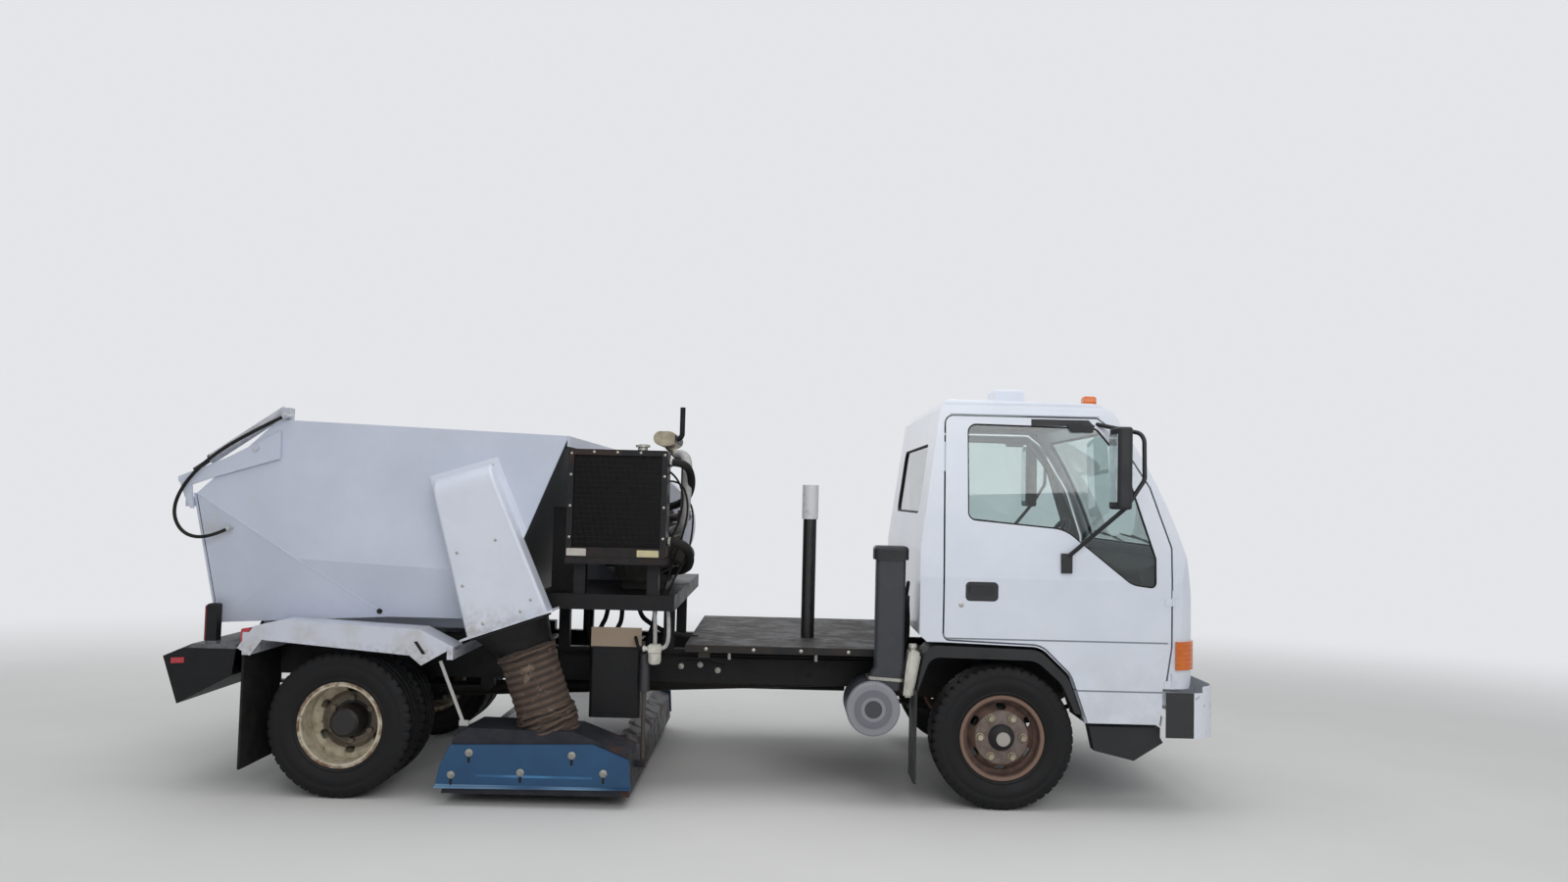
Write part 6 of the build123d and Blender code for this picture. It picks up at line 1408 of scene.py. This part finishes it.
def leaning_bottle():
    """Washer bottle moulded to lean along the wheel arch, with its cap and the bracket that carries it."""
    def make(shape):
        side_plate(shape, [(1.078, 0.555), (1.128, 0.555), (1.168, 0.775), (1.150, 0.796), (1.106, 0.796),
                           (1.090, 0.700)], -0.900, 0.110, 0.010)
        turned_form(shape, (1.128, -0.850, 0.795), (0, 0, 1),
                    [(0.016, 0), (0.016, 0.010), (0.022, 0.011), (0.022, 0.028), (0.018, 0.031)], 20)
        panel(shape, (1.098, 1.120), (-0.792, -0.425), (0.600, 0.640), 0.003)

    piece("leaning_bottle", make, "white_polyethylene", "chassis", ("water_bottle",))


SNORKEL_MIDDLE = (0.9845, -0.845)
BAND_FOOT_Z, BAND_TOP_Z, BAND_THICKNESS = 0.640, 0.656, 0.003


def rounded_path(middle, half_x, half_y, bend, steps):
    """Points round a rectangle with bent corners, seen from above."""
    path = []
    for corner_x, corner_y, start in ((1, 1, 0), (-1, 1, 90), (-1, -1, 180), (1, -1, 270)):
        for step in range(steps + 1):
            turn = math.radians(start + 90 * step / steps)
            path.append((middle[0] + corner_x * (half_x - bend) + bend * math.cos(turn),
                         middle[1] + corner_y * (half_y - bend) + bend * math.sin(turn)))
    return path


def snorkel_band():
    """Screw band round the snorkel's foot."""
    def make(shape):
        path = rounded_path(SNORKEL_MIDDLE, 0.0905, 0.0585, 0.024, 6)
        rings = []
        for z, grow in ((BAND_FOOT_Z, 0.0), (BAND_FOOT_Z, BAND_THICKNESS), (BAND_TOP_Z, BAND_THICKNESS),
                        (BAND_TOP_Z, 0.0)):
            ring = []
            for x, y in path:
                off_x, off_y = x - SNORKEL_MIDDLE[0], y - SNORKEL_MIDDLE[1]
                spot = (x + math.copysign(grow, off_x), y + math.copysign(grow, off_y), z - 0.06 * off_x)
                ring.append(shape.verts.new(spot))
            rings.append(ring)
        for ring, other in zip(rings, rings[1:] + rings[:1]):
            join_rings(shape, ring, other)
        bmesh.ops.recalc_face_normals(shape, faces=shape.faces)

    piece("snorkel_band", make, "zinc_plate", "chassis")


def cab_rear_hoses():
    """Two hoses that rise behind the cab and bend down again."""
    run("cab_rear_hoses", [
        [(1.110, -0.590, 0.690), (1.105, -0.640, 0.860), (1.098, -0.700, 1.020), (1.110, -0.730, 1.120),
         (1.116, -0.690, 1.140), (1.112, -0.640, 1.060), (1.100, -0.560, 0.860), (1.098, -0.520, 0.690)],
        [(1.100, -0.630, 0.690), (1.118, -0.690, 0.820), (1.112, -0.760, 0.940), (1.104, -0.780, 1.040),
         (1.112, -0.730, 1.070), (1.118, -0.640, 0.960), (1.108, -0.560, 0.800), (1.104, -0.500, 0.690)],
    ], 0.010, "black_rubber", "chassis")


# Seats

SEAT_PRESSURE = 4.0
SEAT_CAP = 0.016
PAD_FILL = (0.94, 0.95, 0.94)
CHANNEL_DEPTH = 0.009


def island_boxes(node):
    """Lowest and highest corners of each separate solid of a node."""
    shape = bmesh.new()
    shape.from_mesh(NODES[node].data)
    bmesh.ops.remove_doubles(shape, verts=shape.verts, dist=1e-5)
    left = set(shape.verts)
    boxes = []
    for first in shape.verts:
        if first not in left:
            continue
        left.discard(first)
        places, waiting = [], [first]
        while waiting:
            vert = waiting.pop()
            places.append(vert.co.copy())
            for edge in vert.link_edges:
                other = edge.other_vert(vert)
                if other in left:
                    left.discard(other)
                    waiting.append(other)
        boxes.append([Vector(pick(co[axis] for co in places) for axis in range(3)) for pick in (min, max)])
    shape.free()
    return boxes


def pad_form(shape, low, high, lean, face_axis, rim, cells=18):
    """A rounded cushion between two corners, fine enough to swell; rim gets the points round its face."""
    middle = (low + high) / 2
    size = high - low
    bmesh.ops.create_cube(shape, size=1.0)
    bmesh.ops.subdivide_edges(shape, edges=shape.edges[:], cuts=cells, use_grid_fill=True)
    shape.verts.index_update()
    others = [axis for axis in range(3) if axis != face_axis]
    around = []
    for vert in shape.verts:
        unit = vert.co * 2
        if unit[face_axis] > 0.999 and max(abs(unit[others[0]]), abs(unit[others[1]])) > 0.999:
            around.append((math.atan2(unit[others[1]], unit[others[0]]), vert.index))
        pull = 1 - 0.10 * sum(part ** 6 for part in unit) / 2
        spot = Vector(middle[axis] + unit[axis] * pull * size[axis] / 2 * PAD_FILL[axis] for axis in range(3))
        spot.x += lean * (spot.z - low.z)
        vert.co = spot
    rim.extend(index for _, index in sorted(around))


def swell(obj, cap):
    """Lets cloth under pressure crown a cushion, holding each point within a cap of where it started."""
    start = [vert.co.copy() for vert in obj.data.vertices]
    cloth = obj.modifiers.new("cloth", "CLOTH")
    cloth.settings.use_pressure = True
    cloth.settings.uniform_pressure_force = SEAT_PRESSURE
    cloth.settings.effector_weights.gravity = 0.0
    for step in range(1, 21):
        scene.frame_set(step)
    settled = obj.evaluated_get(bpy.context.evaluated_depsgraph_get())
    swollen = settled.to_mesh()
    for vert, first, moved in zip(obj.data.vertices, start, swollen.vertices):
        shift = moved.co - first
        vert.co = first + (shift.normalized() * min(shift.length, cap) if shift.length > 0 else shift)
    settled.to_mesh_clear()
    obj.modifiers.remove(cloth)
    scene.frame_set(1)


def sew_channels(mesh, low, high, along, face_axis):
    """Sewn channels across a cushion's face: the cloth dips along three lines."""
    width = high[along] - low[along]
    for vert in mesh.vertices:
        share = (vert.co[along] - low[along]) / width
        dip = sum(math.exp(-((share - line) / 0.026) ** 2) for line in (0.25, 0.5, 0.75))
        if vert.normal[face_axis] > 0.5:
            vert.co[face_axis] -= CHANNEL_DEPTH * min(dip, 1.0)


def subdivided(obj):
    """One subdivision, applied to the mesh."""
    rounding = obj.modifiers.new("rounding", "SUBSURF")
    rounding.levels = rounding.render_levels = 1
    finer = bpy.data.meshes.new_from_object(obj.evaluated_get(bpy.context.evaluated_depsgraph_get()))
    obj.modifiers.clear()
    obj.data = finer


def seat_pads():
    """Two seats, each a crowned cushion and a leaning back with sewn channels and a piped edge."""
    for low, high in sorted(island_boxes("seats"), key=lambda box: (box[0].y > 0, box[0].z)):
        tall = high.z - low.z > 0.3
        name = ("seat_back_" if tall else "seat_cushion_") + ("right" if low.y < 0 else "left")
        face_axis, lean = (0, -0.10) if tall else (2, 0.0)
        if tall:
            low = Vector((low.x + 0.060, low.y, low.z + 0.004))
            high = Vector((high.x - 0.012, high.y, high.z))
        rim = []
        obj = piece(name, lambda shape: pad_form(shape, low, high, lean, face_axis, rim), "seat_tweed", "cab",
                    ("seats",), 70)
        swell(obj, SEAT_CAP)
        subdivided(obj)
        sew_channels(obj.data, low, high, 1, face_axis)
        edge = [obj.data.vertices[index].co.copy() for index in rim]
        trim_strip(name + "_piping", [edge], 0.0045, "seat_tweed", "cab")


# Studio

WORLD_FILL = 0.42
FLOOR_REACH = 60.0


def area_light(name, place_at, aim, size, energy):
    """A rectangular lamp at a place, turned to its aim, with its power in watts."""
    light = bpy.data.lights.new(name, "AREA")
    light.shape = "RECTANGLE"
    light.size, light.size_y = size
    light.energy = energy
    obj = bpy.data.objects.new(name, light)
    obj.location = place_at
    obj.rotation_euler = (Vector(aim) - Vector(place_at)).to_track_quat("-Z", "Y").to_euler()
    scene.collection.objects.link(obj)


def lamps():
    """A wide lamp overhead, one on the camera's side and a weaker one behind, as under a bright sky."""
    area_light("overhead", (0.5, -1.0, 7.0), (0, 0, 0.5), (9.0, 6.0), 220)
    area_light("near_side", (2.5, -9.0, 5.0), (0, 0, 1.0), (7.0, 4.0), 275)
    area_light("far_side", (-4.0, 8.0, 4.5), (0, 0, 1.0), (6.0, 4.0), 160)


def backdrop():
    """Pale light from all round, seen as a brighter backdrop than it shines."""
    world = bpy.data.worlds.new("studio_world")
    world.use_nodes = True
    scene.world = world
    world.node_tree.nodes.clear()
    strength = add(world, "MapRange", {"To Min": WORLD_FILL, "To Max": BACKDROP_LEVEL},
                   {"Value": seen_directly(world)})
    sky = add(world, "Background", {"Color": linear(BACKDROP)}, {"Strength": strength.outputs[0]})
    add(world, "OutputWorld", None, {"Surface": sky.outputs[0]})


def studio_floor():
    """Wide floor under the wheels, part of the stage and not of the object."""
    mesh = bpy.data.meshes.new("studio_floor")
    corners = [(x * FLOOR_REACH, y * FLOOR_REACH, 0) for x, y in ((-1, -1), (1, -1), (1, 1), (-1, 1))]
    mesh.from_pydata(corners, [], [(0, 1, 2, 3)])
    mesh.materials.append(floor_material())
    floor = bpy.data.objects.new("studio_floor", mesh)
    scene.collection.objects.link(floor)


hopper_hose()
dress_frame()
tyres()
cab_seals()
wipers()
door_trim()
radiator_core()
radiator_trim()
coolant_hoses()
air_pipe()
bed_hoses()
engine_wiring()
hose_clamps()
control_valve()
hose_folds()
end_plates()
hopper_trim()
fender_trim()
wheel_nuts()
rail_trim()
rail_bracket()
fuel_cap()
deck_bolts()
leaning_bottle()
snorkel_band()
cab_rear_hoses()
seat_pads()
lamps()
backdrop()
studio_floor()
scene.view_settings.view_transform = "Standard"
